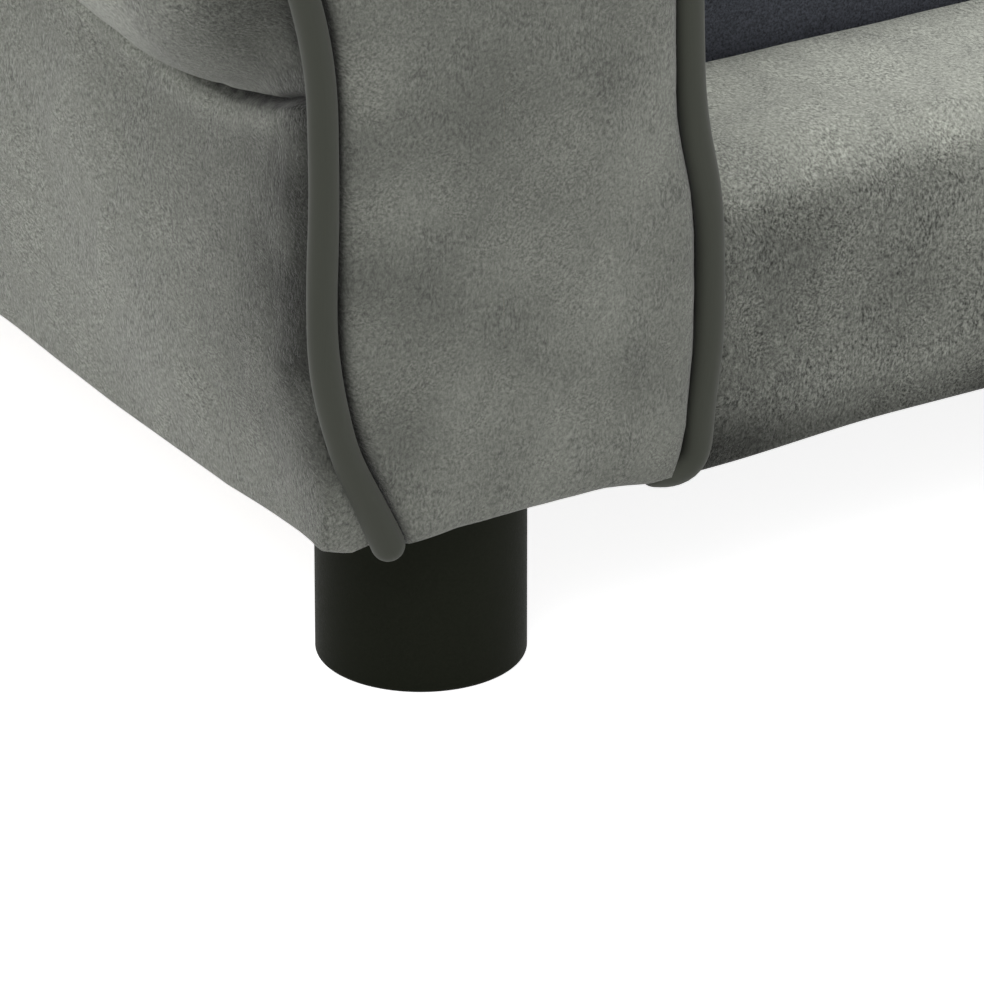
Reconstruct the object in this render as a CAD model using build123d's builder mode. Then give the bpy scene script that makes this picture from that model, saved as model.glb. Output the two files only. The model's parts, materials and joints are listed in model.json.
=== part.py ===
from build123d import *
import math
import os

os.makedirs("parts", exist_ok=True)

# Sizes are in millimetres. X runs across the sofa, the front faces -Y and Z is up.
# The origin is on the floor under the middle of the sofa.

# Overall sizes of the sofa
sofa_width = 720.0
sofa_depth = 450.0
sofa_height = 300.0
leg_height = 46.0

# Cloth and the small gap kept between layers
cover_thickness = 1.5
layer_gap = 0.4
seam_gap = 0.3
overrun = 5.0

# Arm section behind the front, measured outwards from the seat side of the arm
arm_width = 129.0
arm_body_width = 101.0
arm_height = 250.0
roll_low_radius = 38.0
roll_top_radius = 64.0
crease_radius = 3.0
crease_seam_drop = 1.5
side_crown = 5.0
inner_top_radius = 50.0
side_hem_radius = 12.0
side_hem_angle = 80.0
side_hem_length = 1.0

# Arm outline at its front seam, which is narrower than the roll behind it
front_reach = 114.0
front_neck_width = 103.0
front_head_radius = 36.0
front_top_radius = 38.0
front_neck_radius = 110.0
front_side_crown = 0.2
front_inner_radius = 40.0
front_inner_step = 5.5
front_step_low = 99.0
front_step_high = 148.0
front_foot_step = 5.0
front_foot_rise = 22.0
front_tuck_radius = 101.0
front_tuck_angle = 22.0
front_tuck_length = 22.0

# How the roll swells behind its front seam and is drawn in again at the back
# Each row: share of the swell's length, share of the full swell, share of the corner's tuck
swell_length = 58.0
swell_shares = [(0.0, 0.0, 1.0), (0.14, 0.28, 0.15), (0.38, 0.62, 0.0), (1.0, 1.0, 0.0)]
draw_in_length = 30.0
draw_in_share = 0.9

# Piping along the arm front seams
piping_radius = 3.7
front_puff = 8.0
front_puff_radius = 8.5
piping_end_drop = 1.6

# Front rail
rail_set_back = 10.0
rail_depth = 62.0
rail_height = 116.0
rail_front_radius = 20.0
rail_rear_radius = 9.0
rail_hem_radius = 6.0
rail_end_round = 6.0

# Seat deck and the cushion in its well
deck_height = 83.0
deck_board_thickness = 6.0
deck_cover_thickness = 1.2
batten_width = 18.0
cushion_side_clearance = 5.0
cushion_front_clearance = 3.0
cushion_rear_clearance = 12.0
cushion_border_height = 56.0
cushion_crown = 13.0
cushion_draw_in = 3.0
cushion_corner_radius = 26.0
cushion_base_round = 5.0
cushion_piping_radius = 2.8
cushion_piping_inset = 0.8
cushion_seam_drop = 1.0
cushion_corner_least = 8.0
rest_gap = 0.3
# Each row: share of the crown's rise, share of the way in to its flat top
crown_shares = [(0.42, 0.13), (0.76, 0.36), (0.94, 0.66), (1.0, 1.0)]
crown_reach = 92.0

# Zip in the rear border of the cushion
zip_end_margin = 66.0
zip_opening = 14.0
zip_tape_thickness = 0.8
zip_tooth_pitch = 8.0
zip_tooth_length = 4.8
zip_tooth_width = 2.0
zip_tooth_height = 2.0
zip_slot = 1.6
zip_recess = 6.0
slider_length = 10.0
slider_width = 9.0
slider_wall = 0.8
slider_post_width = 1.0
slider_post_length = 4.0
slider_end_gap = 10.0
bridge_length = 8.0
bridge_width = 2.0
bridge_bar = 0.9
bridge_height = 3.0
pull_length = 16.0
pull_width = 6.0
pull_thickness = 1.2
pull_arm_width = 1.2
pull_pivot = 1.5
pull_corner_radius = 1.6
zip_running_gap = 0.3

# Back
back_thickness = 75.0
back_overhang = 15.0
back_shoulder_height = 272.0
back_shoulder_radius = 44.0
back_front_round = 31.0
back_rear_round = 14.0
back_side_round_share = 0.05
back_side_extra = 3.0
circle_share = 0.5523
back_side_low = 130.0
back_side_high = 175.0
back_arch_start_share = 0.62
back_arch_end_share = 0.42

# Number of steps in which a padded edge is rounded
rounding_count = 4

# Boards of the frame
base_board_thickness = 12.0
arm_board_thickness = 10.0
arm_board_inset = 8.0
board_corner = 22.0
outer_board_drop = 110.0
top_rail_share = 0.56
top_rail_drop = 18.0
back_board_inset = 16.0
board_rear_corner = 26.0
back_rail_end_inset = 16.0
back_rail_drop = 38.0
dust_cover_inset = 14.0
side_board_thickness = 3.0
outer_board_inset = 17.0
inner_board_inset = 7.0
inner_board_drop = 72.0
top_rail_width = 30.0
top_rail_height = 20.0
rail_board_thickness = 12.0
rail_foam_front = 10.0
back_board_thickness = 12.0
back_rail_width = 24.0
back_rail_height = 34.0
hem_width = 26.0
dust_cover_thickness = 1.0

# Legs, their studs and the tee nuts in the base board
leg_diameter = 50.0
leg_side_inset = 42.0
leg_front_inset = 31.0
leg_rear_inset = 39.0
leg_wall = 3.0
leg_edge_radius = 1.2
leg_floor = 3.5
leg_boss_radius = 9.0
leg_rib_thickness = 2.0
leg_rib_count = 6
leg_rib_overlap = 1.0
stud_radius = 4.0
stud_length = 44.0
stud_head_width = 13.0
stud_head_height = 5.3
stud_clearance = 0.1
nut_flange_radius = 11.0
nut_flange_thickness = 1.6
nut_barrel_radius = 5.2
nut_prong_count = 4
nut_prong_length = 6.0
nut_prong_width = 2.4
nut_prong_thickness = 1.0
nut_prong_circle = 8.6
nut_space_height = 2.0

# Angles and counts of plain shapes
quarter_turn = 90.0
half_turn = 180.0
hexagon_sides = 6

# Places that follow from those sizes
half_width = sofa_width / 2
half_depth = sofa_depth / 2
seat_half_width = half_width - arm_width
base_height = leg_height
roll_centre_height = arm_height - roll_top_radius
front_seam = -half_depth + front_puff
wrap_front = front_seam + piping_radius + seam_gap
back_front = half_depth - back_thickness
rear_cover_front = half_depth - cover_thickness
cover_inset = cover_thickness + layer_gap
board_bottom = base_height + cover_inset
board_top = board_bottom + base_board_thickness
front_board_rear = wrap_front + arm_board_thickness
arm_rear = back_front - seam_gap
rail_front = -half_depth + rail_set_back
rail_rear = rail_front + rail_depth
outer_board = seat_half_width + arm_body_width - outer_board_inset
inner_board = seat_half_width + inner_board_inset
outer_board_height = arm_height - outer_board_drop
inner_board_height = arm_height - inner_board_drop
top_rail_top = arm_height - top_rail_drop
deck_board_top = deck_height - deck_cover_thickness - layer_gap
back_half_width = seat_half_width + arm_body_width + back_overhang + back_side_extra
back_rail_half_length = back_half_width - back_shoulder_radius - back_rail_end_inset
back_rail_top = sofa_height - back_rail_drop
leg_x = seat_half_width + arm_body_width - leg_side_inset
leg_front_y = front_seam + leg_front_inset
leg_rear_y = half_depth - leg_rear_inset
leg_places = [(x, y) for y in (leg_front_y, leg_rear_y) for x in (-leg_x, leg_x)]


def save(piece, name):
    """Names a finished piece and writes it."""
    piece.label = name
    export_step(piece, f"parts/{name}.step")


def front_view(y):
    """Plane that faces the front at depth y, with X to the right and Z up."""
    return Plane(origin=(0, y, 0), x_dir=(1, 0, 0), z_dir=(0, -1, 0))


def side_view(x):
    """Plane that faces +X at x, with Y to the right and Z up."""
    return Plane(origin=(x, 0, 0), x_dir=(0, 1, 0), z_dir=(1, 0, 0))


def block(x_span, y_span, z_span):
    """A board between the given limits."""
    with BuildPart() as board:
        with BuildSketch(Plane.XY.offset(z_span[0])):
            with Locations(((x_span[0] + x_span[1]) / 2, (y_span[0] + y_span[1]) / 2)):
                Rectangle(x_span[1] - x_span[0], y_span[1] - y_span[0])
        extrude(amount=z_span[1] - z_span[0])
    return board.part


def save_pair(piece, name):
    """Writes a piece of the +X arm and its mirror image on the -X arm."""
    save(piece, f"right_{name}")
    with BuildPart() as other:
        mirror(piece, about=Plane.YZ)
    save(other.part, f"left_{name}")


def between(low, high, share):
    """The value that lies the given share of the way from low to high."""
    return low + (high - low) * share


def polar(centre, radius, degrees):
    """Point at an angle on a circle."""
    angle = math.radians(degrees)
    return (centre[0] + radius * math.cos(angle), centre[1] + radius * math.sin(angle))


def arm_curves(swell, tuck, inset, foot_height):
    """Outline of the +X arm from its outer foot, over the roll, to its inner foot.

    swell is 0 at the front seam and 1 where the roll is full. tuck is 1 at the front
    corner, where the foot is drawn in, and 0 behind it. inset moves the outline inwards.
    """
    x = seat_half_width
    reach = x + between(front_reach, arm_width, swell)
    side = x + between(front_neck_width, arm_body_width, swell)
    low_radius = between(front_head_radius, roll_low_radius, swell)
    centre_height = between(arm_height - front_top_radius, roll_centre_height, swell)
    top_radius = arm_height - centre_height
    crease = front_neck_radius * (crease_radius / front_neck_radius) ** swell
    crown = between(front_side_crown, side_crown, swell)
    inner_radius = between(front_inner_radius, inner_top_radius, swell)
    step = between(front_inner_step, 0, swell)
    foot_step = front_foot_step * tuck
    tuck_radius = side_hem_radius * (front_tuck_radius / side_hem_radius) ** tuck
    tuck_angle = between(side_hem_angle, front_tuck_angle, tuck)
    tuck_length = between(side_hem_length, front_tuck_length, tuck)

    # Foot of the outer side, drawn in below the point where the side starts to curve
    lean = math.radians(tuck_angle)
    side_low = base_height + tuck_radius * math.sin(lean) + tuck_length * math.cos(lean)
    tuck_centre = (side - tuck_radius, side_low)
    tuck_end = polar(tuck_centre, tuck_radius - inset, -tuck_angle)
    outer_foot = (tuck_end[0] - (tuck_end[1] - foot_height) * math.tan(lean), foot_height)

    # Hollow between the side and the roll, tangent to both
    low_centre = (reach - low_radius, centre_height)
    across = side + crease - low_centre[0]
    drop = math.sqrt((low_radius + crease) ** 2 - across**2)
    crease_centre = (side + crease, centre_height - drop)
    crease_angle = math.degrees(math.atan2(drop, -across))
    side_top = (side - inset, crease_centre[1])
    roll_low = polar(low_centre, low_radius - inset, crease_angle - half_turn)

    # Top of the arm
    top_centre = (reach - top_radius, centre_height)
    inner_centre = (x + step + inner_radius, arm_height - inner_radius)
    inner_x = x + step + inset
    foot_x = x + inset
    step_middle = (front_step_low + front_step_high) / 2
    foot_rise = base_height + front_foot_rise
    half_foot = (foot_height + foot_rise) / 2
    return [
        Line(outer_foot, tuck_end),
        ThreePointArc(
            tuck_end,
            polar(tuck_centre, tuck_radius - inset, -tuck_angle / 2),
            (side - inset, side_low),
        ),
        ThreePointArc(
            (side - inset, side_low),
            (side - inset + crown, (side_low + side_top[1]) / 2),
            side_top,
        ),
        ThreePointArc(
            side_top,
            polar(crease_centre, crease + inset, (half_turn + crease_angle) / 2),
            roll_low,
        ),
        ThreePointArc(
            roll_low,
            polar(low_centre, low_radius - inset, (crease_angle - half_turn) / 2),
            (reach - inset, centre_height),
        ),
        ThreePointArc(
            (reach - inset, centre_height),
            polar(top_centre, top_radius - inset, quarter_turn / 2),
            (top_centre[0], arm_height - inset),
        ),
        Line((top_centre[0], arm_height - inset), (inner_centre[0], arm_height - inset)),
        ThreePointArc(
            (inner_centre[0], arm_height - inset),
            polar(inner_centre, inner_radius - inset, (quarter_turn + half_turn) / 2),
            (inner_x, inner_centre[1]),
        ),
        Line((inner_x, inner_centre[1]), (inner_x, front_step_high)),
        Bezier(
            (inner_x, front_step_high),
            (inner_x, step_middle),
            (foot_x, step_middle),
            (foot_x, front_step_low),
        ),
        Line((foot_x, front_step_low), (foot_x, foot_rise)),
        Bezier(
            (foot_x, foot_rise),
            (foot_x, half_foot),
            (foot_x + foot_step, half_foot),
            (foot_x + foot_step, foot_height),
        ),
    ]


def arm_section(y, swell, tuck, inset, foot_inset):
    """Closed section of the arm at depth y."""
    with BuildSketch(front_view(y)) as section:
        with BuildLine():
            curves = arm_curves(swell, tuck, inset, base_height + foot_inset)
            Line(curves[-1] @ 1, curves[0] @ 0)
        make_face()
    return section.sketch


def arm_form(inset, past=0):
    """The whole upholstered arm as one solid, drawn in at both ends of the roll.

    past carries both ends on beyond the arm, for a form that hollows out the cover.
    """
    rear_swell = 1 - draw_in_share
    sections = [
        arm_section(wrap_front + swell_length * reach, swell, tuck, inset, inset)
        for reach, swell, tuck in swell_shares
    ]
    sections.append(arm_section(arm_rear - draw_in_length, 1, 0, inset, inset))
    sections.append(arm_section(arm_rear, rear_swell, 0, inset, inset))
    if past:
        sections[0] = arm_section(wrap_front + seam_gap, 0, 1, inset, inset)
        sections[-1] = arm_section(arm_rear - seam_gap, rear_swell, 0, inset, inset)
        sections.insert(0, arm_section(wrap_front - past, 0, 1, inset, inset))
        sections.append(arm_section(arm_rear + past, rear_swell, 0, inset, inset))
    with BuildPart() as form:
        loft(sections, ruled=True)
    return form.part


def rounding_steps(radius):
    """Inset and depth of the sections that round an edge, from its face to its side."""
    angles = [math.pi / 2 * step / rounding_count for step in range(rounding_count, -1, -1)]
    return [(radius * (1 - math.cos(angle)), radius * (1 - math.sin(angle))) for angle in angles]


def pad_form(inset, front, rear):
    """Puffed front of the arm between two depths, inside the piping."""
    sections = [
        arm_section(front + depth, 0, 1, inset + step, foot_inset_of(inset) + step)
        for step, depth in rounding_steps(front_puff_radius)
    ]
    sections.append(arm_section(rear, 0, 1, inset, foot_inset_of(inset)))
    with BuildPart() as form:
        loft(sections, ruled=True)
    return form.part


def foot_inset_of(inset):
    """The foot of the front pad reaches down to the hem."""
    return inset - piping_radius - seam_gap


def back_half_section(y, inset, step):
    """Closed outline of the +X half of the back at depth y, rounded off by step at the top."""
    side_inset = inset + step * back_side_round_share
    top_inset = inset + step
    side = seat_half_width + arm_body_width + back_side_extra - side_inset
    end = back_half_width - side_inset
    shoulder = (back_half_width - back_shoulder_radius, back_shoulder_height - back_shoulder_radius)
    shoulder_top = back_shoulder_height - top_inset
    middle_top = sofa_height - top_inset
    side_middle = (back_side_low + back_side_high) / 2
    foot = base_height + inset
    with BuildSketch(front_view(y)) as section:
        with BuildLine():
            Line((0, foot), (side, foot))
            Line((side, foot), (side, back_side_low))
            Bezier((side, back_side_low), (side, side_middle), (end, side_middle), (end, back_side_high))
            Line((end, back_side_high), (end, shoulder[1]))
            Bezier(
                (end, shoulder[1]),
                (end, between(shoulder[1], shoulder_top, circle_share)),
                (between(shoulder[0], end, circle_share), shoulder_top),
                (shoulder[0], shoulder_top),
            )
            Bezier(
                (shoulder[0], shoulder_top),
                (shoulder[0] * back_arch_start_share, shoulder_top),
                (shoulder[0] * back_arch_end_share, middle_top),
                (0, middle_top),
            )
            Line((0, middle_top), (0, foot))
        make_face()
    return section.sketch


def back_form(inset):
    """The whole padded back as one solid."""
    front = back_front + inset
    rear = half_depth - inset
    sections = [
        back_half_section(front + depth, inset, step)
        for step, depth in rounding_steps(back_front_round)
    ]
    rear_steps = rounding_steps(back_rear_round)
    rear_steps.reverse()
    for step, depth in rear_steps:
        sections.append(back_half_section(rear - depth, inset, step))
    with BuildPart() as form:
        loft(sections, ruled=True)
        mirror(about=Plane.YZ)
    return form.part


def rail_section(x, inset, step):
    """Section of the front rail at x, drawn in by step at the front and the top."""
    front = rail_front + inset + step
    rear = rail_rear - inset
    top = rail_height - inset - step
    low = base_height + inset
    with BuildSketch(side_view(x)) as section:
        with BuildLine():
            Line((rear, low), (rear, top - rail_rear_radius))
            RadiusArc((rear, top - rail_rear_radius), (rear - rail_rear_radius, top), -rail_rear_radius)
            Line((rear - rail_rear_radius, top), (front + rail_front_radius, top))
            RadiusArc((front + rail_front_radius, top), (front, top - rail_front_radius), -rail_front_radius)
            Line((front, top - rail_front_radius), (front, low + rail_hem_radius))
            RadiusArc((front, low + rail_hem_radius), (front + rail_hem_radius, low), -rail_hem_radius)
            Line((front + rail_hem_radius, low), (rear, low))
        make_face()
    return section.sketch


def rail_form(inset):
    """The padded front rail between the arms as one solid with rounded ends."""
    half = seat_half_width - seam_gap - inset
    steps = rounding_steps(rail_end_round)
    sections = [rail_section(depth - half, inset, step) for step, depth in steps]
    steps.reverse()
    sections += [rail_section(half - depth, inset, step) for step, depth in steps]
    with BuildPart() as form:
        loft(sections, ruled=True)
    return form.part


def cushion_outline(z, inset):
    """Outline of the cushion at a height, with rounded corners.

    The front and the sides draw in between the corners. The rear carries the zip and is straight.
    """
    radius = max(cushion_corner_radius - inset, cushion_corner_least)
    x = cushion_width / 2 - inset
    y = cushion_depth / 2 - inset
    with BuildSketch(Plane(origin=(0, cushion_middle, z))) as outline:
        with BuildLine():
            ThreePointArc((-x, y), (cushion_draw_in - x, 0), (-x, -y))
            ThreePointArc((-x, -y), (0, cushion_draw_in - y), (x, -y))
            ThreePointArc((x, -y), (x - cushion_draw_in, 0), (x, y))
            Line((x, y), (-x, y))
        make_face()
        fillet(outline.vertices(), radius)
    return outline.sketch


def cushion_form(inset):
    """The filled cushion as one solid with its crown."""
    sections = [
        cushion_outline(cushion_base + inset, inset + cushion_base_round),
        cushion_outline(cushion_low_seam + inset, inset),
        cushion_outline(cushion_top_seam - inset, inset),
    ]
    for rise, reach in crown_shares:
        sections.append(
            cushion_outline(cushion_top_seam + cushion_crown * rise - inset, inset + crown_reach * reach)
        )
    with BuildPart() as form:
        loft(sections, ruled=True)
    return form.part


def cushion_ring(z, radius):
    """Round cord around the cushion at a height."""
    with BuildPart() as ring:
        with BuildLine() as path:
            add(cushion_outline(z, cushion_piping_inset).wire())
        with BuildSketch(path.line ^ 0):
            Circle(radius)
        sweep()
    return ring.part


def minus(piece, cutters):
    """The piece with every cutter taken away."""
    with BuildPart() as rest:
        add(piece)
        for cutter in cutters:
            add(cutter, mode=Mode.SUBTRACT)
    return rest.part


def shared(piece, region):
    """The part of a piece that lies within a region."""
    with BuildPart() as common:
        add(piece)
        add(region, mode=Mode.INTERSECT)
    return common.part


# Sizes of the cushion that follow
cushion_width = 2 * (seat_half_width - cushion_side_clearance)
cushion_front = rail_rear + cushion_front_clearance
cushion_rear = back_front - cushion_rear_clearance
cushion_depth = cushion_rear - cushion_front
cushion_middle = (cushion_front + cushion_rear) / 2
cushion_base = deck_height + rest_gap
cushion_low_seam = cushion_base + cushion_base_round
cushion_top_seam = cushion_base + cushion_border_height

# Spans that several boards share
slab_x = (-outer_board, outer_board)
slab_y = (front_board_rear + seam_gap, rear_cover_front - layer_gap)
slab_z = (board_bottom, board_top)
slab_room = block(
    (slab_x[0] - seam_gap, slab_x[1] + seam_gap),
    (slab_y[0] - seam_gap, slab_y[1] + seam_gap),
    (base_height - overrun, board_top + seam_gap),
)
wall_room = block(
    (-(seat_half_width + board_corner), seat_half_width + board_corner),
    (slab_y[0] - seam_gap, slab_y[1] + seam_gap),
    (base_height - overrun, board_top + seam_gap),
)
back_wall_room = block(
    (slab_x[0] - seam_gap, slab_x[1] + seam_gap),
    (back_front - overrun, back_front + overrun),
    (base_height + cover_thickness + seam_gap, board_top + seam_gap),
)
hem_window = block(
    (-(seat_half_width + arm_body_width - hem_width), seat_half_width + arm_body_width - hem_width),
    (front_seam + hem_width, half_depth - hem_width),
    (base_height - overrun, board_bottom),
)

# Prongs and barrel of a tee nut, around its own axis
with BuildPart() as tee_nut:
    with BuildSketch(Plane.XY.offset(board_top)):
        Circle(nut_flange_radius)
        Circle(stud_radius + stud_clearance, mode=Mode.SUBTRACT)
    extrude(amount=nut_flange_thickness)
    with BuildSketch(Plane.XY.offset(board_bottom)):
        Circle(nut_barrel_radius)
        Circle(stud_radius + stud_clearance, mode=Mode.SUBTRACT)
    extrude(amount=base_board_thickness)
    with BuildSketch(Plane.XY.offset(board_top - nut_prong_length)):
        with PolarLocations(nut_prong_circle, nut_prong_count):
            Rectangle(nut_prong_thickness, nut_prong_width)
    extrude(amount=nut_prong_length)

# Room for a tee nut in the base board
with BuildPart() as nut_room:
    with BuildSketch(Plane.XY.offset(board_bottom)):
        Circle(nut_barrel_radius + stud_clearance)
    extrude(amount=base_board_thickness)
    with BuildSketch(Plane.XY.offset(board_top - nut_prong_length - stud_clearance)):
        with PolarLocations(nut_prong_circle, nut_prong_count):
            Rectangle(nut_prong_thickness + 2 * stud_clearance, nut_prong_width + 2 * stud_clearance)
    extrude(amount=nut_prong_length + stud_clearance)

# Stud with its hexagon head, around its own axis
stud_low = board_top + nut_flange_thickness + overrun - stud_length
with BuildPart() as stud:
    with BuildSketch(Plane.XY.offset(stud_low)):
        RegularPolygon(stud_head_width / 2, hexagon_sides, major_radius=False)
    extrude(amount=stud_head_height)
    with BuildSketch(Plane.XY.offset(stud_low)):
        Circle(stud_radius)
    extrude(amount=stud_length)

# Leg: a moulded cup with a boss and ribs
with BuildPart() as leg:
    with BuildSketch():
        Circle(leg_diameter / 2)
    extrude(amount=leg_height)
    fillet(leg.edges().sort_by(Axis.Z)[0], leg_edge_radius)
    with BuildSketch(Plane.XY.offset(leg_floor)):
        Circle(leg_diameter / 2 - leg_wall)
    extrude(amount=leg_height, mode=Mode.SUBTRACT)
    with BuildSketch(Plane.XY.offset(leg_floor)):
        Circle(leg_boss_radius)
        with PolarLocations((leg_diameter / 2 - leg_wall) / 2, leg_rib_count):
            Rectangle(leg_diameter / 2 - leg_wall + leg_rib_overlap, leg_rib_thickness)
    extrude(amount=leg_height - leg_floor)
    with BuildSketch(Plane.XY.offset(stud_low - stud_clearance)):
        Circle(stud_radius + stud_clearance)
    extrude(amount=leg_height, mode=Mode.SUBTRACT)
    with BuildSketch(Plane.XY.offset(stud_low - stud_clearance)):
        RegularPolygon(stud_head_width / 2 + stud_clearance, hexagon_sides, major_radius=False)
    extrude(amount=stud_head_height + 2 * stud_clearance, mode=Mode.SUBTRACT)

corner_names = ["front_left", "front_right", "rear_left", "rear_right"]
for corner, place in zip(corner_names, leg_places):
    for piece, name in ((leg, "leg"), (stud, "leg_stud"), (tee_nut, "tee_nut")):
        with BuildPart() as placed:
            with Locations((place[0], place[1], 0)):
                add(piece.part)
        save(placed.part, f"{corner}_{name}")

# Base board on which the whole frame stands
with BuildPart() as base_board:
    add(block(slab_x, slab_y, slab_z))
    corners = base_board.edges().filter_by(Axis.Z)
    chamfer(corners.group_by(Axis.Y)[0], board_corner)
    chamfer(corners.group_by(Axis.Y)[-1], board_rear_corner)
    with Locations(*[(place[0], place[1], 0) for place in leg_places]):
        add(nut_room.part, mode=Mode.SUBTRACT)
save(base_board.part, "base_board")

# Boards of the arms
front_outline = arm_section(wrap_front, 0, 1, arm_board_inset, arm_board_inset)
arm_front_board = extrude(front_outline, -arm_board_thickness)
rear_outline = arm_section(arm_rear, 1 - draw_in_share, 0, arm_board_inset, arm_board_inset)
below_boards = block((-half_width, half_width), (-half_depth, half_depth), (0, board_top))
arm_rear_board = minus(extrude(rear_outline, arm_board_thickness), [below_boards])
inner_y = (front_board_rear, arm_rear - arm_board_thickness)
arm_outer_board = block(
    (outer_board - side_board_thickness, outer_board),
    inner_y,
    (board_top, outer_board_height),
)
arm_inner_board = block(
    (inner_board, inner_board + side_board_thickness),
    inner_y,
    (board_top, inner_board_height),
)
top_rail_middle = seat_half_width + arm_body_width * top_rail_share
arm_top_rail = block(
    (top_rail_middle - top_rail_width / 2, top_rail_middle + top_rail_width / 2),
    inner_y,
    (top_rail_top - top_rail_height, top_rail_top),
)
save_pair(arm_front_board, "arm_front_board")
save_pair(arm_rear_board, "arm_rear_board")
save_pair(arm_outer_board, "arm_outer_board")
save_pair(arm_inner_board, "arm_inner_board")
save_pair(arm_top_rail, "arm_top_rail")

# Arm cover: a thin shell, open at both ends and under the base board
arm_shell = minus(arm_form(0), [arm_form(cover_thickness, overrun), wall_room, hem_window])
arm_core = arm_form(cover_inset)

# Everything below the crease on the outer side
crease_line = [(half_depth, 0), (-half_depth, 0)]
crease_curve = 3
for reach, swell, tuck in swell_shares:
    curves = arm_curves(swell, tuck, 0, base_height)
    height = (curves[crease_curve] @ 0).Y - crease_seam_drop
    if reach == 0:
        crease_line.append((-half_depth, height))
    crease_line.append((wrap_front + swell_length * reach, height))
crease_line.append((half_depth, height))
with BuildPart() as below_crease:
    with BuildSketch(side_view(seat_half_width + arm_body_width / 2)):
        with BuildLine():
            Polyline(*crease_line, close=True)
        make_face()
    extrude(amount=sofa_width)
save_pair(shared(arm_shell, below_crease.part), "arm_side_cover")
save_pair(minus(arm_shell, [below_crease.part]), "arm_roll_cover")

# Arm foam: around the boards, which leave a hollow in the middle
arm_hollow = block(
    (inner_board, outer_board),
    (-half_depth, half_depth),
    (0, inner_board_height),
)
arm_foam = minus(
    arm_core,
    [arm_hollow, arm_top_rail, arm_front_board, arm_rear_board, slab_room],
)
save_pair(shared(arm_foam, below_crease.part), "arm_side_foam")
save_pair(minus(arm_foam, [below_crease.part]), "arm_roll_foam")

# Puffed arm front: cover and foam
pad_inset = piping_radius + seam_gap
pad_rear = wrap_front - seam_gap
pad_outer = pad_form(pad_inset, -half_depth, pad_rear)
pad_lining = pad_form(pad_inset + cover_thickness, -half_depth + cover_thickness, pad_rear + overrun)
pad_core = pad_form(pad_inset + cover_inset, -half_depth + cover_inset, pad_rear)
save_pair(minus(pad_outer, [pad_lining]), "arm_front_cover")
save_pair(pad_core, "arm_front_foam")

# Piping around the arm front
with BuildPart() as arm_piping:
    with BuildLine(front_view(front_seam)) as seam:
        arm_curves(0, 1, 0, base_height - piping_end_drop)
    with BuildSketch(seam.line ^ 0):
        Circle(piping_radius)
    sweep()
save_pair(arm_piping.part, "arm_piping")

# Front rail: board, foam and cover
rail_board_y = (rail_front + rail_foam_front, rail_front + rail_foam_front + rail_board_thickness)
rail_board_half = seat_half_width - cover_inset - rail_end_round
rail_board = block(
    (-rail_board_half, rail_board_half),
    rail_board_y,
    (board_top, rail_height - rail_foam_front),
)
rail_cover = minus(rail_form(0), [rail_form(cover_thickness), slab_room, hem_window])
rail_foam = minus(rail_form(cover_inset), [rail_board, slab_room])
save(rail_board, "rail_board")
save(rail_cover, "rail_cover")
save(rail_foam, "rail_foam")

# Back: board, top rail, foam and the two covers
back_board_y = (rear_cover_front - layer_gap - back_board_thickness, rear_cover_front - layer_gap)
back_board_outline = back_half_section(back_board_y[0], back_board_inset, 0)
with BuildPart() as back_board:
    add(extrude(back_board_outline, -back_board_thickness))
    mirror(about=Plane.YZ)
    add(slab_room, mode=Mode.SUBTRACT)
with BuildPart() as back_board_room:
    add(extrude(back_board_outline, -(back_board_thickness + overrun)))
    mirror(about=Plane.YZ)
back_top_rail = block(
    (-back_rail_half_length, back_rail_half_length),
    (back_board_y[0] - back_rail_width, back_board_y[0]),
    (back_rail_top - back_rail_height, back_rail_top),
)
back_shell = minus(back_form(0), [back_form(cover_thickness), back_wall_room, hem_window])
rear_region = block((-half_width, half_width), (rear_cover_front, half_depth), (0, sofa_height))
save(back_board.part, "back_board")
save(back_top_rail, "back_top_rail")
save(shared(back_shell, rear_region), "rear_cover")
save(minus(back_shell, [rear_region]), "back_cover")
with BuildPart() as nut_space:
    with BuildSketch(Plane.XY.offset(board_top)):
        with Locations(*leg_places):
            Circle(nut_flange_radius + seam_gap)
    extrude(amount=nut_flange_thickness + overrun + nut_space_height)
back_foam = minus(back_form(cover_inset), [back_board_room.part, back_top_rail, slab_room, nut_space.part])
save(back_foam, "back_foam")

# Seat deck
well_x = (-(seat_half_width - seam_gap), seat_half_width - seam_gap)
well_y = (rail_rear + seam_gap, back_front - seam_gap)
deck_board_z = (deck_board_top - deck_board_thickness, deck_board_top)
save(block(well_x, well_y, deck_board_z), "deck_board")
save(block(well_x, well_y, (deck_board_top + layer_gap, deck_height)), "deck_cover")
save_pair(
    block((well_x[1] - batten_width, well_x[1]), well_y, (board_top, deck_board_z[0])),
    "deck_batten",
)

# Dust cover under the base board
with BuildPart() as dust_cover:
    with BuildSketch(Plane.XY.offset(base_height - dust_cover_thickness)):
        Rectangle(2 * leg_x, 2 * (half_depth - dust_cover_inset))
        with Locations(*leg_places):
            Circle(leg_diameter / 2 + seam_gap, mode=Mode.SUBTRACT)
    extrude(amount=dust_cover_thickness)
save(dust_cover.part, "dust_cover")

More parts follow.
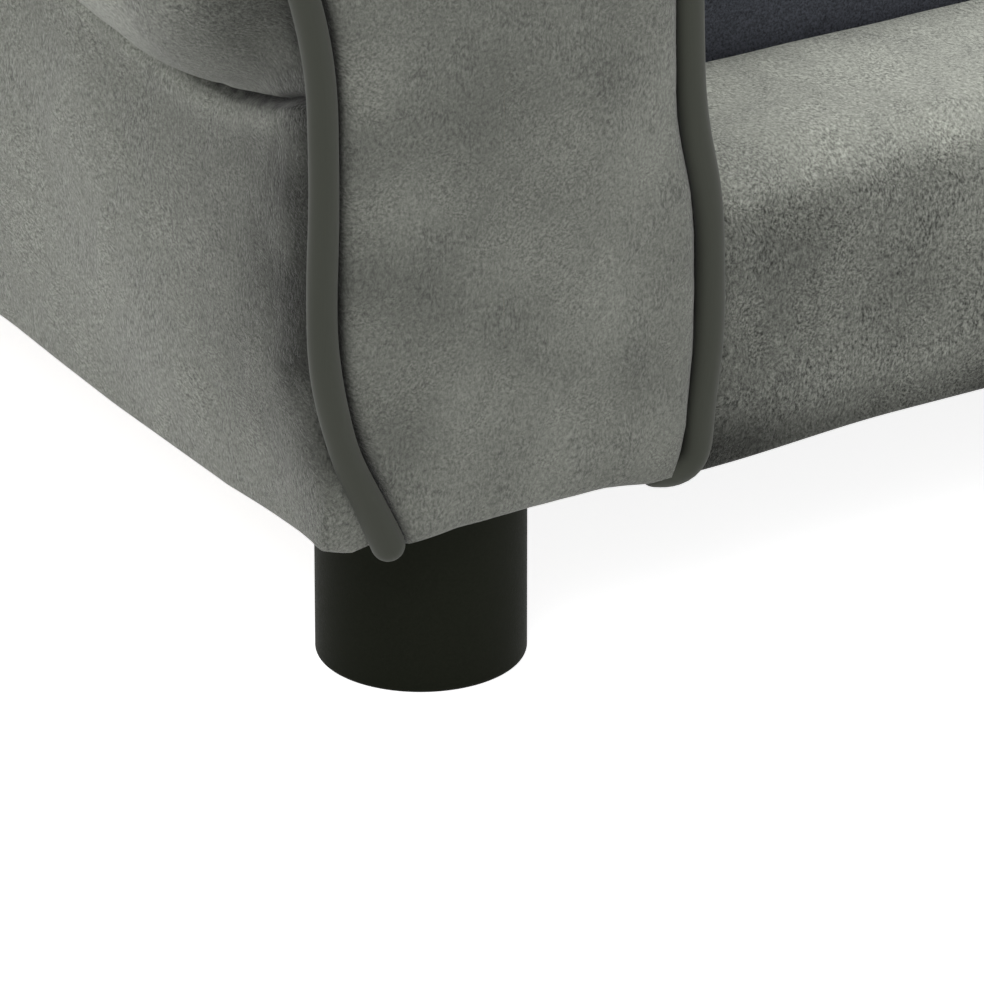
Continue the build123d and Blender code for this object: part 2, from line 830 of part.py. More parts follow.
# Cushion covers and core, with grooves for the piping
cushion_outer = cushion_form(0)
cushion_shell = minus(
    cushion_outer,
    [cushion_form(cover_thickness), cushion_ring(cushion_top_seam, cushion_piping_radius + seam_gap)],
)
zip_length = cushion_width - 2 * zip_end_margin
zip_middle = (cushion_low_seam + cushion_top_seam) / 2
zip_room = block(
    (-(zip_length / 2 + slider_length), zip_length / 2 + slider_length),
    (cushion_rear - zip_recess, cushion_rear + overrun),
    (zip_middle - zip_opening / 2, zip_middle + zip_opening / 2),
)
above_seam = block((-half_width, half_width), (-half_depth, half_depth), (cushion_top_seam, sofa_height))
below_seam = block((-half_width, half_width), (-half_depth, half_depth), (0, cushion_low_seam))
save(shared(cushion_shell, above_seam), "cushion_top")
save(shared(cushion_shell, below_seam), "cushion_base")
above_border = block(
    (-half_width, half_width), (-half_depth, half_depth), (cushion_top_seam - cushion_seam_drop, sofa_height)
)
save(minus(cushion_shell, [above_border, below_seam, zip_room]), "cushion_border")
save(cushion_ring(cushion_top_seam, cushion_piping_radius), "cushion_piping")
cushion_core = minus(
    cushion_form(cover_inset),
    [cushion_ring(cushion_top_seam, cushion_piping_radius + seam_gap), zip_room],
)
save(cushion_core, "cushion_foam")

# Zip: two tapes with their teeth, in the opening of the rear border
tape_y = (cushion_rear - cover_thickness, cushion_rear - cover_thickness + zip_tape_thickness)
chain_y = ((tape_y[0] + tape_y[1] - zip_tooth_height) / 2, (tape_y[0] + tape_y[1] + zip_tooth_height) / 2)
tooth_count = math.floor(zip_length / zip_tooth_pitch)
tape_width = (zip_opening - zip_slot) / 2
with BuildPart() as zip_tape:
    with BuildSketch(front_view(tape_y[1])):
        with Locations((0, zip_middle + (zip_slot + tape_width) / 2)):
            Rectangle(zip_length + 2 * slider_length, tape_width)
    extrude(amount=zip_tape_thickness)
    with BuildSketch(front_view(chain_y[1])):
        with Locations((0, zip_middle + (zip_slot + zip_tooth_width) / 2)):
            with GridLocations(zip_tooth_pitch, 0, tooth_count, 1):
                Rectangle(zip_tooth_length, zip_tooth_width)
    extrude(amount=zip_tooth_height)
save(zip_tape.part, "zip_tape_upper")
with BuildPart() as lower_tape:
    mirror(zip_tape.part, about=Plane.XY.offset(zip_middle))
save(lower_tape.part, "zip_tape_lower")

# Zip slider: two plates around the teeth, joined by a post, with a bridge for the pull
front_plate_y = (chain_y[1] + zip_running_gap, chain_y[1] + zip_running_gap + slider_wall)
back_plate_y = (chain_y[0] - zip_running_gap - slider_wall, chain_y[0] - zip_running_gap)
slider_rest = zip_length / 2 - slider_end_gap
slider_x = (slider_rest - slider_length / 2, slider_rest + slider_length / 2)
slider_z = (zip_middle - slider_width / 2, zip_middle + slider_width / 2)
flange_width = (slider_width - zip_slot) / 2 - zip_tooth_width - zip_running_gap
bridge_x = (slider_rest - bridge_length / 2, slider_rest + bridge_length / 2)
bridge_z = (zip_middle - bridge_width / 2, zip_middle + bridge_width / 2)
tunnel_height = bridge_height - bridge_bar
with BuildPart() as zip_slider:
    add(block(slider_x, front_plate_y, slider_z))
    add(block(slider_x, back_plate_y, slider_z))
    for low in (slider_z[0], slider_z[1] - flange_width):
        flange_z = (low, low + flange_width)
        add(block(slider_x, (tape_y[1] + zip_running_gap, front_plate_y[0]), flange_z))
        add(block(slider_x, (back_plate_y[1], tape_y[0] - zip_running_gap), flange_z))
    add(
        block(
            (slider_rest - slider_post_length / 2, slider_rest + slider_post_length / 2),
            (back_plate_y[1], front_plate_y[0]),
            (zip_middle - slider_post_width / 2, zip_middle + slider_post_width / 2),
        )
    )
    add(block(bridge_x, (front_plate_y[1], front_plate_y[1] + bridge_height), bridge_z))
    add(
        block(
            (bridge_x[0] + bridge_bar, bridge_x[1] - bridge_bar),
            (front_plate_y[1], front_plate_y[1] + tunnel_height),
            bridge_z,
        ),
        mode=Mode.SUBTRACT,
    )
save(zip_slider.part, "zip_slider")

# Zip pull: a flat tab with a cross pin that turns in the tunnel of the bridge
pivot_x = slider_rest + pull_pivot
pivot_y = front_plate_y[1] + tunnel_height / 2
arm_inner_z = bridge_width / 2 + zip_running_gap
arm_outer_z = arm_inner_z + pull_arm_width
bridge_reach = math.hypot(bridge_x[1] - pivot_x, front_plate_y[1] + bridge_height - pivot_y)
plate_start = pivot_x + bridge_reach + zip_running_gap
with BuildPart() as zip_pull:
    with BuildSketch(front_view(pivot_y + pull_thickness / 2)):
        with BuildLine():
            Polyline(
                (pivot_x, zip_middle - arm_outer_z),
                (plate_start + pull_arm_width, zip_middle - arm_outer_z),
                (plate_start + pull_width / 2, zip_middle - pull_width / 2),
                (pivot_x + pull_length, zip_middle - pull_width / 2),
                (pivot_x + pull_length, zip_middle + pull_width / 2),
                (plate_start + pull_width / 2, zip_middle + pull_width / 2),
                (plate_start + pull_arm_width, zip_middle + arm_outer_z),
                (pivot_x, zip_middle + arm_outer_z),
                close=True,
            )
        make_face()
        with Locations(((pivot_x + plate_start - pull_thickness) / 2, zip_middle)):
            Rectangle(plate_start + pull_thickness - pivot_x, 2 * arm_inner_z, mode=Mode.SUBTRACT)
    extrude(amount=pull_thickness)
    tips = zip_pull.edges().filter_by(Axis.Y).group_by(Axis.X)[-1]
    fillet(tips, pull_corner_radius)
    with BuildSketch(Plane.XY.offset(zip_middle - arm_outer_z)):
        with Locations((pivot_x, pivot_y)):
            Circle(pull_thickness / 2)
    extrude(amount=2 * arm_outer_z)
save(zip_pull.part, "zip_pull")
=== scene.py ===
import json
import math

import bpy
import numpy as np
from mathutils import Matrix, Vector


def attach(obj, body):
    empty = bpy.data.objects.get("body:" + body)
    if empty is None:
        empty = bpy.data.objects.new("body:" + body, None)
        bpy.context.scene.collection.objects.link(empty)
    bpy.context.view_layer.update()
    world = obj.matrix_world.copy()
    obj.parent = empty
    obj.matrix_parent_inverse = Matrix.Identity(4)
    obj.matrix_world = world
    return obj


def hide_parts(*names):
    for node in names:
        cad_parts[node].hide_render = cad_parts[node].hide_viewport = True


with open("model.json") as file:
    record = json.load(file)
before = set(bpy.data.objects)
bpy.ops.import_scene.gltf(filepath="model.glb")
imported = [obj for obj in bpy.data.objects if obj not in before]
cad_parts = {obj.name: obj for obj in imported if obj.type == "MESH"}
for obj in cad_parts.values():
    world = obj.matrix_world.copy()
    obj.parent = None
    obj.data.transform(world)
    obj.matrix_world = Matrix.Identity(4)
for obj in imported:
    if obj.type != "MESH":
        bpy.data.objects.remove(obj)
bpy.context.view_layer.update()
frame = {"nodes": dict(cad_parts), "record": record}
mm = 0.001
print("frame loaded")

# Camera, fitted to the leg, the seams and the hems of the photograph
camera = {
    "place": (-1.3119, -1.8891, 0.9668), "azimuth": -31.447, "elevation": 25.008, "lens": 342.63,
    "sensor": 36, "near": 0.05, "far": 50,
}


def makeCamera():
    a, e = math.radians(camera["azimuth"]), math.radians(camera["elevation"])
    behind = Vector((math.sin(a) * math.cos(e), -math.cos(a) * math.cos(e), math.sin(e)))
    right = Vector((math.cos(a), math.sin(a), 0))
    turn = Matrix((right, behind.cross(right), behind)).transposed().to_4x4()
    data = bpy.data.cameras.new("camera")
    data.lens = camera["lens"]
    data.sensor_width = camera["sensor"]
    data.clip_start = camera["near"]
    data.clip_end = camera["far"]
    obj = bpy.data.objects.new("camera", data)
    obj.matrix_world = Matrix.Translation(camera["place"]) @ turn
    bpy.context.scene.collection.objects.link(obj)
    bpy.context.scene.camera = obj


makeCamera()
bpy.context.scene.view_settings.view_transform = "Standard"


# Nodes of a material
def newMaterial(name):
    material = bpy.data.materials.new(name)
    material.use_nodes = True
    return material, material.node_tree, material.node_tree.nodes["Principled BSDF"]


def setInputs(made, values):
    for key, value in values.items():
        made.inputs[key].default_value = value


def node(tree, kind, **values):
    made = tree.nodes.new(kind)
    for key, value in values.items():
        if key in made.inputs:
            made.inputs[key].default_value = value
        else:
            setattr(made, key, value)
    return made


def connect(tree, value, socket):
    # An output is linked to the socket, and a number is set on it
    if isinstance(value, bpy.types.NodeSocket):
        tree.links.new(value, socket)
    else:
        socket.default_value = value


def maths(tree, operation, *values):
    made = node(tree, "ShaderNodeMath", operation=operation)
    for value, socket in zip(values, made.inputs):
        connect(tree, value, socket)
    return made.outputs[0]


def mixed(tree, kind, factor, a, b, **values):
    made = node(tree, "ShaderNodeMix", data_type=kind, **values)
    for key, value in (("Factor", factor), ("A", a), ("B", b)):
        connect(tree, value, made.inputs[key])
    return made.outputs["Result"]


def noise(tree, place, **values):
    made = node(tree, "ShaderNodeTexNoise", **values)
    tree.links.new(place, made.inputs["Vector"])
    return made


def ramp(tree, value, stops):
    made = node(tree, "ShaderNodeValToRGB")
    while len(made.color_ramp.elements) < len(stops):
        made.color_ramp.elements.new(0.5)
    for element, (place, colour) in zip(made.color_ramp.elements, stops):
        element.position = place
        element.color = (*colour, 1)
    tree.links.new(value, made.inputs["Fac"])
    return made.outputs["Color"]


def bumped(tree, bsdf, height, strength, distance):
    bump = node(tree, "ShaderNodeBump", Strength=strength, Distance=distance)
    tree.links.new(height, bump.inputs["Height"])
    tree.links.new(bump.outputs["Normal"], bsdf.inputs["Normal"])


def linear(r, g, b):
    return tuple(((c / 255 + 0.055) / 1.055) ** 2.4 if c > 10 else c / 255 / 12.92 for c in (r, g, b))


def shade(colour, factor):
    return tuple(c * factor for c in colour)


def grey(value):
    return (value,) * 3


# Short pile: two ways that the grains lean, and how dark and light they are where it lies fine or coarse
plush = {
    "colour": linear(131, 133, 126), "fine": (0.62, 1.4), "coarse": (0.2, 1.92),
    "pileStops": (0.34, 0.5, 0.66), "pile": {"Scale": 1450, "Detail": 3.0, "Roughness": 0.72},
    "stroke": {"Scale": 42, "Detail": 3.0, "Roughness": 0.6, "Distortion": 0.6},
    "patch": {"Scale": 11, "Detail": 2.0, "Roughness": 0.5},
    "ways": (((0.0, 0.0, 0.0), (1.0, 1.0, 0.6)), ((0.9, 0.9, 0.4), (1.0, 0.65, 1.0))), "lean": 0.006,
    "wayStops": ((0.42, grey(0)), (0.58, grey(1))),
    "strokeTones": ((0.3, (0.9, 0.9, 0.9)), (0.7, (1.08, 1.08, 1.07))),
    "patchTones": ((0.35, grey(0.94)), (0.65, grey(1.05))),
    "surface": {
        "Roughness": 0.95, "Specular IOR Level": 0.12, "Sheen Weight": 0.35, "Sheen Roughness": 0.35,
        "Sheen Tint": (1.0, 0.995, 0.98, 1),
    },
    "strokeHeight": 1.4, "bump": 0.75, "bumpHeight": 0.0007,
}


def plushMaterial(name, colour):
    # Fine grains that lean two ways, over broad stroked areas, toned by each piece's attribute of pile tone
    # and painted shade and light
    material, tree, bsdf = newMaterial(name)
    place = node(tree, "ShaderNodeTexCoord").outputs["Object"]
    patch = noise(tree, place, **plush["patch"])
    stroke = noise(tree, place, **plush["stroke"])
    lean = node(tree, "ShaderNodeVectorMath", operation="MULTIPLY_ADD")
    lean.inputs[1].default_value = grey(plush["lean"])
    tree.links.new(stroke.outputs["Color"], lean.inputs[0])
    tree.links.new(place, lean.inputs[2])
    grains = []
    for turn, stretch in plush["ways"]:
        mapping = node(tree, "ShaderNodeMapping", Rotation=turn, Scale=stretch)
        tree.links.new(lean.outputs["Vector"], mapping.inputs["Vector"])
        grains.append(noise(tree, mapping.outputs["Vector"], **plush["pile"]).outputs["Fac"])
    which = ramp(tree, stroke.outputs["Fac"], plush["wayStops"])
    pile = mixed(tree, "FLOAT", which, *grains)
    low, middle, high = plush["pileStops"]
    tones = []
    for dark, light in (plush["fine"], plush["coarse"]):
        stops = [(low, shade(colour, dark)), (middle, colour), (high, shade(colour, light))]
        tones.append(ramp(tree, pile, stops))
    coarse = node(tree, "ShaderNodeAttribute", attribute_name="coarse").outputs["Fac"]
    # Painted shade and light of each piece: above 0 it darkens the colour, below 0 it lightens it
    napAndPaintedShade = node(tree, "ShaderNodeAttribute", attribute_name="napAndPaintedShade").outputs["Fac"]
    result = mixed(tree, "RGBA", coarse, *tones)
    broad = ramp(tree, stroke.outputs["Fac"], plush["strokeTones"])
    wide = ramp(tree, patch.outputs["Fac"], plush["patchTones"])
    for other in (broad, wide, maths(tree, "SUBTRACT", 1.0, napAndPaintedShade)):
        result = mixed(tree, "RGBA", 1.0, result, other, blend_type="MULTIPLY")
    tree.links.new(result, bsdf.inputs["Base Color"])
    tall = maths(tree, "MULTIPLY_ADD", stroke.outputs["Fac"], plush["strokeHeight"], pile)
    bumped(tree, bsdf, tall, plush["bump"], plush["bumpHeight"])
    setInputs(bsdf, plush["surface"])
    return material


weave = {
    "uneven": {"Scale": 260.0, "Detail": 3.0, "Roughness": 0.6}, "unevenHeight": 2.5,
    "heights": {"From Min": -1.0, "From Max": 4.0}, "bumpHeight": 0.0002, "specular": 0.15,
}


def weaveMaterial(name, colour, threads, contrast, bump, sheen, rough):
    # Fine plain weave: crossed sets of threads with a little unevenness
    material, tree, bsdf = newMaterial(name)
    place = node(tree, "ShaderNodeTexCoord").outputs["Object"]
    split = node(tree, "ShaderNodeSeparateXYZ")
    tree.links.new(place, split.inputs[0])
    waves = []
    for axis in ("X", "Y", "Z"):
        turn = maths(tree, "MULTIPLY", split.outputs[axis], threads * 2 * math.pi)
        waves.append(maths(tree, "SINE", turn))
    crossed = maths(tree, "ADD", maths(tree, "ADD", waves[0], waves[1]), waves[2])
    uneven = noise(tree, place, **weave["uneven"])
    height = maths(tree, "MULTIPLY_ADD", uneven.outputs["Fac"], weave["unevenHeight"], crossed)
    tone = node(tree, "ShaderNodeMapRange", **weave["heights"])
    tree.links.new(height, tone.inputs["Value"])
    stops = [(0.0, shade(colour, 1 - contrast)), (1.0, shade(colour, 1 + contrast))]
    tree.links.new(ramp(tree, tone.outputs["Result"], stops), bsdf.inputs["Base Color"])
    bumped(tree, bsdf, height, bump, weave["bumpHeight"])
    setInputs(bsdf, {"Roughness": rough, "Specular IOR Level": weave["specular"], "Sheen Weight": sheen})
    return material


grain = {
    "streak": {"Detail": 5.0, "Roughness": 0.62, "Distortion": 0.4}, "toneStops": (0.3, 0.68),
    "roughStops": (0.3, 0.7), "roughShares": (0.85, 1.12), "bumpHeight": 0.0003,
}


def grainMaterial(name, light, dark, along, scale, rough, metallic=0.0, bump=0.15, specular=0.5):
    # Streaked, cast or felted surface: noise that can be drawn out along one axis
    material, tree, bsdf = newMaterial(name)
    stretch = node(tree, "ShaderNodeMapping", Scale=along)
    tree.links.new(node(tree, "ShaderNodeTexCoord").outputs["Object"], stretch.inputs["Vector"])
    streak = noise(tree, stretch.outputs["Vector"], Scale=scale, **grain["streak"]).outputs["Fac"]
    first, last = grain["toneStops"]
    tree.links.new(ramp(tree, streak, [(first, dark), (last, light)]), bsdf.inputs["Base Color"])
    first, last = grain["roughStops"]
    smoother, rougher = (min(rough * share, 1) for share in grain["roughShares"])
    roughs = ramp(tree, streak, [(first, grey(smoother)), (last, grey(rougher))])
    tree.links.new(roughs, bsdf.inputs["Roughness"])
    bumped(tree, bsdf, streak, bump, grain["bumpHeight"])
    setInputs(bsdf, {"Metallic": metallic, "Specular IOR Level": specular})
    return material


# Cloths: colour, threads to a metre, contrast, bump, sheen and roughness
cloths = {
    "piping_cloth": (linear(55, 57, 50), 3200, 0.03, 0.04, 0.1, 0.7),
    "dust_cloth": (linear(26, 26, 26), 700, 0.25, 0.4, 0.0, 0.95),
    "zip_tape": (linear(34, 35, 38), 1300, 0.25, 0.5, 0.0, 0.85),
}
# Other materials: light and dark colour, stretch, scale, roughness, metallic, bump and specular
even = (1, 1, 1)
grained = {
    "dark_cloth": (linear(93, 96, 105), linear(36, 38, 42), even, 1700, 0.9, 0.0, 0.3, 0.2),
    "foam": (linear(232, 222, 190), linear(214, 200, 160), even, 700, 0.95, 0.0, 0.6),
    "leg_plastic": (linear(29, 31, 24), linear(24, 26, 19), even, 1400, 0.6, 0.0, 0.2, 0.03),
    "plywood": (linear(214, 180, 132), linear(176, 138, 92), (1, 12, 12), 22, 0.75),
    "softwood": (linear(222, 190, 142), linear(188, 148, 98), (1, 16, 16), 18, 0.7),
    "hardboard": (linear(138, 102, 68), linear(112, 80, 52), even, 400, 0.8),
    "stud_steel": ((0.6, 0.6, 0.58), (0.42, 0.42, 0.41), (1, 1, 6), 300, 0.35, 1.0),
    "nut_steel": ((0.62, 0.6, 0.52), (0.45, 0.43, 0.37), even, 260, 0.4, 1.0),
    "zip_metal": ((0.06, 0.06, 0.065), (0.035, 0.035, 0.04), even, 500, 0.4, 0.6),
}


def camelName(slot):
    words = slot.title().replace("_", "")
    return words[0].lower() + words[1:]


materials = {"plush": plushMaterial("plush", plush["colour"])}
for slot, values in cloths.items():
    materials[slot] = weaveMaterial(camelName(slot), *values)
for slot, values in grained.items():
    materials[slot] = grainMaterial(camelName(slot), *values)
slotOf = {row["node"]: row["material_slot"] for row in frame["record"]["subparts"]}
for name, obj in frame["nodes"].items():
    obj.data.materials.clear()
    obj.data.materials.append(materials[slotOf[name]])
print("materials made")


# Amounts that change along a piece
def between(low, high, share):
    return low + (high - low) * share


def grown(low, high, share):
    # From one radius to another in equal ratios
    return low * (high / low) ** share


def smooth(x):
    x = np.clip(x, 0, 1)
    return x * x * (3 - 2 * x)


def rise(x, start, length):
    # 0 up to the start, then smoothly to 1 over the length
    return smooth((x - start) / length)


def fall(x, start, length):
    return 1 - rise(x, start, length)


def decay(x, reach):
    return np.exp(-x / reach)


def bell(x, middle, width):
    return np.exp(-(((x - middle) / width) ** 2))


def rounded(x):
    # A quarter of a circle from 0 to 1
    return np.sqrt(1 - (1 - np.clip(x, 0, 1)) ** 2)


def graph(x, pairs):
    # Straight lines through pairs of place and value
    return np.interp(x, *zip(*pairs))


def tonePatches(points, marks):
    # Soft patches of darker or lighter tone, each with its tone, centre and radii
    total = np.zeros(len(points))
    for tone, centre, radii in marks:
        total += tone * np.exp(-(((points - np.array(centre)) / np.array(radii)) ** 2).sum(-1))
    return total


def ripple(points, height, scale, seed, waves=14, shares=(0.5, 1.6)):
    # Smooth noise from a seeded sum of sine waves, about as high as its height either way
    rng = np.random.default_rng(seed)
    total = np.zeros(len(points))
    for _ in range(waves):
        direction = rng.normal(size=3)
        direction *= rng.uniform(*shares) / np.linalg.norm(direction)
        total += np.sin(points @ direction * 2 * math.pi / scale + rng.uniform(0, 2 * math.pi))
    return height * (total / math.sqrt(waves))


# Lines and grids of points
def arc(centre, radius, start, end, count):
    angles = np.radians(np.linspace(start, end, count + 1)[:-1])
    return np.stack([centre[0] + radius * np.cos(angles), centre[1] + radius * np.sin(angles)], 1)


def straight(a, b, count):
    share = np.linspace(0, 1, count + 1)[:-1, None]
    return np.array(a) * (1 - share) + np.array(b) * share


def curve(points, count):
    p = np.array(points, float)
    t = np.linspace(0, 1, count + 1)[:-1, None]
    return (1 - t) ** 3 * p[0] + 3 * (1 - t) ** 2 * t * p[1] + 3 * (1 - t) * t * t * p[2] + t**3 * p[3]


def joined(counts, *stretches):
    # Stretches of a line one after another: each is a function and what it takes before its count
    return np.concatenate([make(*taken, count) for count, (make, *taken) in zip(counts, stretches)])


def spread(x, y, z):
    # Points from three rows of numbers or single numbers
    return np.stack(np.broadcast_arrays(x, y, z), -1).astype(float)


def upright(line, y):
    # A line in x and z, at the depths y
    return spread(line[:, 0], y, line[:, 1])


def lengths(line):
    return np.concatenate([[0], np.cumsum(np.linalg.norm(np.diff(line, axis=0), axis=1))])


def evened(line, count):
    # The same line in even steps
    along = lengths(line)
    keep = np.concatenate([[True], np.diff(along) > 1e-6])
    where = np.linspace(0, along[-1], count + 1)
    return np.stack([np.interp(where, along[keep], axis[keep]) for axis in line.T], 1)


def stations(*stretches):
    # Places along a piece: each stretch has its start, its end and its number of steps
    places = [np.linspace(start, end, count + 1)[:-1] for start, end, count in stretches]
    return np.concatenate(places + [[stretches[-1][1]]])


def rightNormals(line):
    # Normals of an open line, to its right
    step = np.gradient(line, axis=0)
    step /= np.linalg.norm(step, axis=1)[:, None] + 1e-9
    return np.stack([step[:, 1], -step[:, 0]], 1)


def gridFaces(rows, columns, closed, flip):
    faces = []
    for r in range(rows - 1):
        for c in range(columns if closed else columns - 1):
            here, beyond, d = r * columns, (r + 1) * columns, (c + 1) % columns
            quad = [here + c, here + d, beyond + d, beyond + c]
            faces.append(quad[::-1] if flip else quad)
    return faces


def surface(rings, closed=False, flip=False):
    rings = np.array(rings)
    return rings.reshape(-1, 3), gridFaces(*rings.shape[:2], closed, flip)


def capped(rings, flip=False):
    # Closed rings, with the last one filled by a fan around its middle
    points, faces = surface(rings, closed=True, flip=flip)
    tip = len(points)
    last = list(range(tip - len(rings[-1]), tip))
    for a, b in zip(last, last[1:] + last[:1]):
        faces.append([b, a, tip] if flip else [a, b, tip])
    return np.concatenate([points, [rings[-1].mean(0)]]), faces


def circles(centres, radii, normals, others, sides):
    # One ring of points round each centre
    angles = np.linspace(0, 2 * math.pi, sides, endpoint=False)
    across = np.cos(angles)[None, :, None] * np.array(normals)[:, None]
    along = np.sin(angles)[None, :, None] * np.array(others)[:, None]
    return (np.array(centres)[:, None] + np.reshape(radii, (-1, 1, 1)) * (across + along)).reshape(-1, 3)


def tube(path, radii, sides, ends=6, tip=0.02):
    # Round tube along an open path, with rounded ends
    step = np.gradient(path, axis=0)
    step /= np.linalg.norm(step, axis=1)[:, None]
    normal = np.cross(step[0], (0.0, 1.0, 0.0))
    rings = []
    for centre, direction, radius in zip(path, step, radii):
        normal = normal - direction * (normal @ direction)
        normal = normal / np.linalg.norm(normal)
        rings.append((centre, radius, normal, np.cross(direction, normal)))
    caps = []
    for (centre, radius, normal, other), outward in ((rings[0], -step[0]), (rings[-1], step[-1])):
        cap = []
        for k in range(1, ends + 1):
            a = math.pi / 2 * k / ends
            beyond = outward * radius * math.sin(a)
            cap.append((centre + beyond, max(radius * math.cos(a), tip), normal, other))
        caps.append(cap)
    rings = caps[0][::-1] + rings + caps[1]
    return circles(*zip(*rings), sides), gridFaces(len(rings), sides, closed=True, flip=False)


def closedTube(path, radius, sides=16):
    step = np.roll(path, -1, 0) - np.roll(path, 1, 0)
    step /= np.linalg.norm(step, axis=1)[:, None]
    side = np.cross(step, (0.0, 0.0, 1.0))
    side /= np.linalg.norm(side, axis=1)[:, None]
    faces = []
    for r in range(len(path)):
        a, b = r * sides, (r + 1) % len(path) * sides
        faces += [[a + c, b + c, b + (c + 1) % sides, a + (c + 1) % sides] for c in range(sides)]
    return circles(path, radius, side, np.cross(side, step), sides), faces


# Pieces of the scene, filled softly or firmly
soft, firm = 0.7, 0.8
# Limits for the painted shade and light, also used for how coarse the grain is
napAndShadeLimits = (-0.5, 0.86)


def makePiece(name, points, faces, slot, body, replaced, fill=None, napAndPaintedShade=None, coarse=0.3):
    # The first attribute paints shade at each point, with some pile tone, and below 0 paints light; coarse is
    # how rough its grain is
    mesh = bpy.data.meshes.new(name)
    mesh.from_pydata((points * mm).tolist(), [], faces)
    for kind, values in (("napAndPaintedShade", napAndPaintedShade), ("coarse", coarse)):
        if values is not None:
            values = np.broadcast_to(np.clip(values, *napAndShadeLimits), len(points)).astype(np.float32)
            mesh.attributes.new(kind, "FLOAT", "POINT").data.foreach_set("value", values)
    mesh.validate()
    mesh.update()
    mesh.shade_smooth()
    mesh.materials.append(materials[slot])
    obj = bpy.data.objects.new(name, mesh)
    bpy.context.scene.collection.objects.link(obj)
    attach(obj, body)
    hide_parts(*replaced)


def bothSides(name, points, faces, slot, nodes, *looks):
    other = points * (-1, 1, 1)
    pieces = {"right": (points, faces), "left": (other, [f[::-1] for f in faces])}
    for side, (p, f) in pieces.items():
        makePiece(f"{side}{name}", p, f, slot, "sofa", [f"{side}_{n}" for n in nodes], *looks)


# Section of the right arm: each pair is for the narrow front seam and for the full roll behind it
arm = {
    "seat": 231, "top": 250, "foot": 46, "reach": (114, 129), "side": (103, 101), "low": (36, 38),
    "crown": (0.2, 5), "inner": (40, 50), "step": (5.5, 0), "stepLow": 99, "stepHigh": 148,
    "crease": (110, 3), "creaseFade": 1.6, "foldLength": 1.0, "sideSpacing": 1.7,
    "creaseAt": (
        (0, 156.4), (12, 153.1), (20, 149.7), (38, 145.2), (56, 143.4), (75, 144.4), (94, 147.6),
        (130, 149.0),
    ),
    "footStep": 2.4, "footRise": 40, "tuckRadius": (3, 101), "tuckAngle": (80, 22), "tuckLength": (1, 22),
    "front": -213, "rear": 149.7, "toe": 1.3, "toeReach": 26, "toeFrom": 290,
    "counts": (8, 16, 40, 3, 14, 24, 30, 6, 20, 10, 10, 10, 8),
}
# The crease comes after the foot, the hem, the side and the fold
creaseColumn = sum(arm["counts"][:4])


def sidePanel(x, low, high, crown, count):
    # A bulging line, with its points closer together towards the top
    share = 1 - (1 - np.linspace(0, 1, count + 1)[:-1]) ** arm["sideSpacing"]
    return np.stack([x + crown * 4 * share * (1 - share), low + (high - low) * share], 1)


def armOutline(swell, tuck, inset, distance=0):
    # Outer foot, over the roll, to the inner foot; tuck is how far the outer corner is drawn in
    x, foot = arm["seat"], arm["foot"]
    reach, side = x + between(*arm["reach"], swell), x + between(*arm["side"], swell)
    low = between(*arm["low"], swell)
    crease = grown(*arm["crease"], swell ** arm["creaseFade"])
    crown, inner = between(*arm["crown"], swell), between(*arm["inner"], swell)
    step, footStep = between(*arm["step"], swell), arm["footStep"] * tuck
    # The hem's corner, and the straight below it
    radius, length = grown(*arm["tuckRadius"], tuck), between(*arm["tuckLength"], tuck)
    angle = between(*arm["tuckAngle"], tuck)
    lean = math.radians(angle)
    sideLow = foot + radius * math.sin(lean) + length * math.cos(lean)
    cornerX = side - radius + (radius - inset) * math.cos(lean)
    cornerZ = sideLow - (radius - inset) * math.sin(lean)
    outerFoot = (cornerX - (cornerZ - foot) * math.tan(lean), foot)
    # The crease and the roll over it are two circles that touch
    across = side + crease - (reach - low)
    drop = math.sqrt((low + crease) ** 2 - across**2)
    creaseZ = float(graph(distance, arm["creaseAt"]))
    middle = creaseZ + drop
    top, crest = arm["top"] - middle, arm["top"] - inset
    touch = math.degrees(math.atan2(drop, -across))
    fold = 180 - min(math.degrees(arm["foldLength"] / (crease + inset)), (180 - touch) / 2)
    innerCentre = (x + step + inner, arm["top"] - inner)
    innerX, footX = x + step + inset, x + inset
    stepMiddle = (arm["stepLow"] + arm["stepHigh"]) / 2
    footTop = foot + arm["footRise"]
    footMiddle = (foot + footTop) / 2
    stepCurve = [
        (innerX, arm["stepHigh"]), (innerX, stepMiddle), (footX, stepMiddle), (footX, arm["stepLow"]),
    ]
    innerFoot = (footX + footStep, foot)
    footCurve = [(footX, footTop), (footX, footMiddle), (footX + footStep, footMiddle), innerFoot]
    line = joined(
        arm["counts"],
        (straight, outerFoot, (cornerX, cornerZ)),
        (arc, (side - radius, sideLow), radius - inset, -angle, 0),
        (sidePanel, side - inset, sideLow, creaseZ, crown),
        (arc, (side + crease, creaseZ), crease + inset, 180, fold),
        (arc, (side + crease, creaseZ), crease + inset, fold, touch),
        (arc, (reach - low, middle), low - inset, touch - 180, 0),
        (arc, (reach - top, middle), top - inset, 0, 90),
        (straight, (reach - top, crest), (innerCentre[0], crest)),
        (arc, innerCentre, inner - inset, 90, 180),
        (straight, (innerX, innerCentre[1]), (innerX, arm["stepHigh"])),
        (curve, stepCurve),
        (straight, (footX, arm["stepLow"]), (footX, footTop)),
        (curve, footCurve),
    )
    return np.concatenate([line, [innerFoot]])


def toeIn(line):
    # Low at the outer corner the front and its piping draw inwards, away from the side cover
    share = fall(line[:, 1], arm["foot"], arm["toeReach"]) * (line[:, 0] > arm["toeFrom"])
    return np.stack([line[:, 0] - arm["toe"] * share, line[:, 1]], 1)


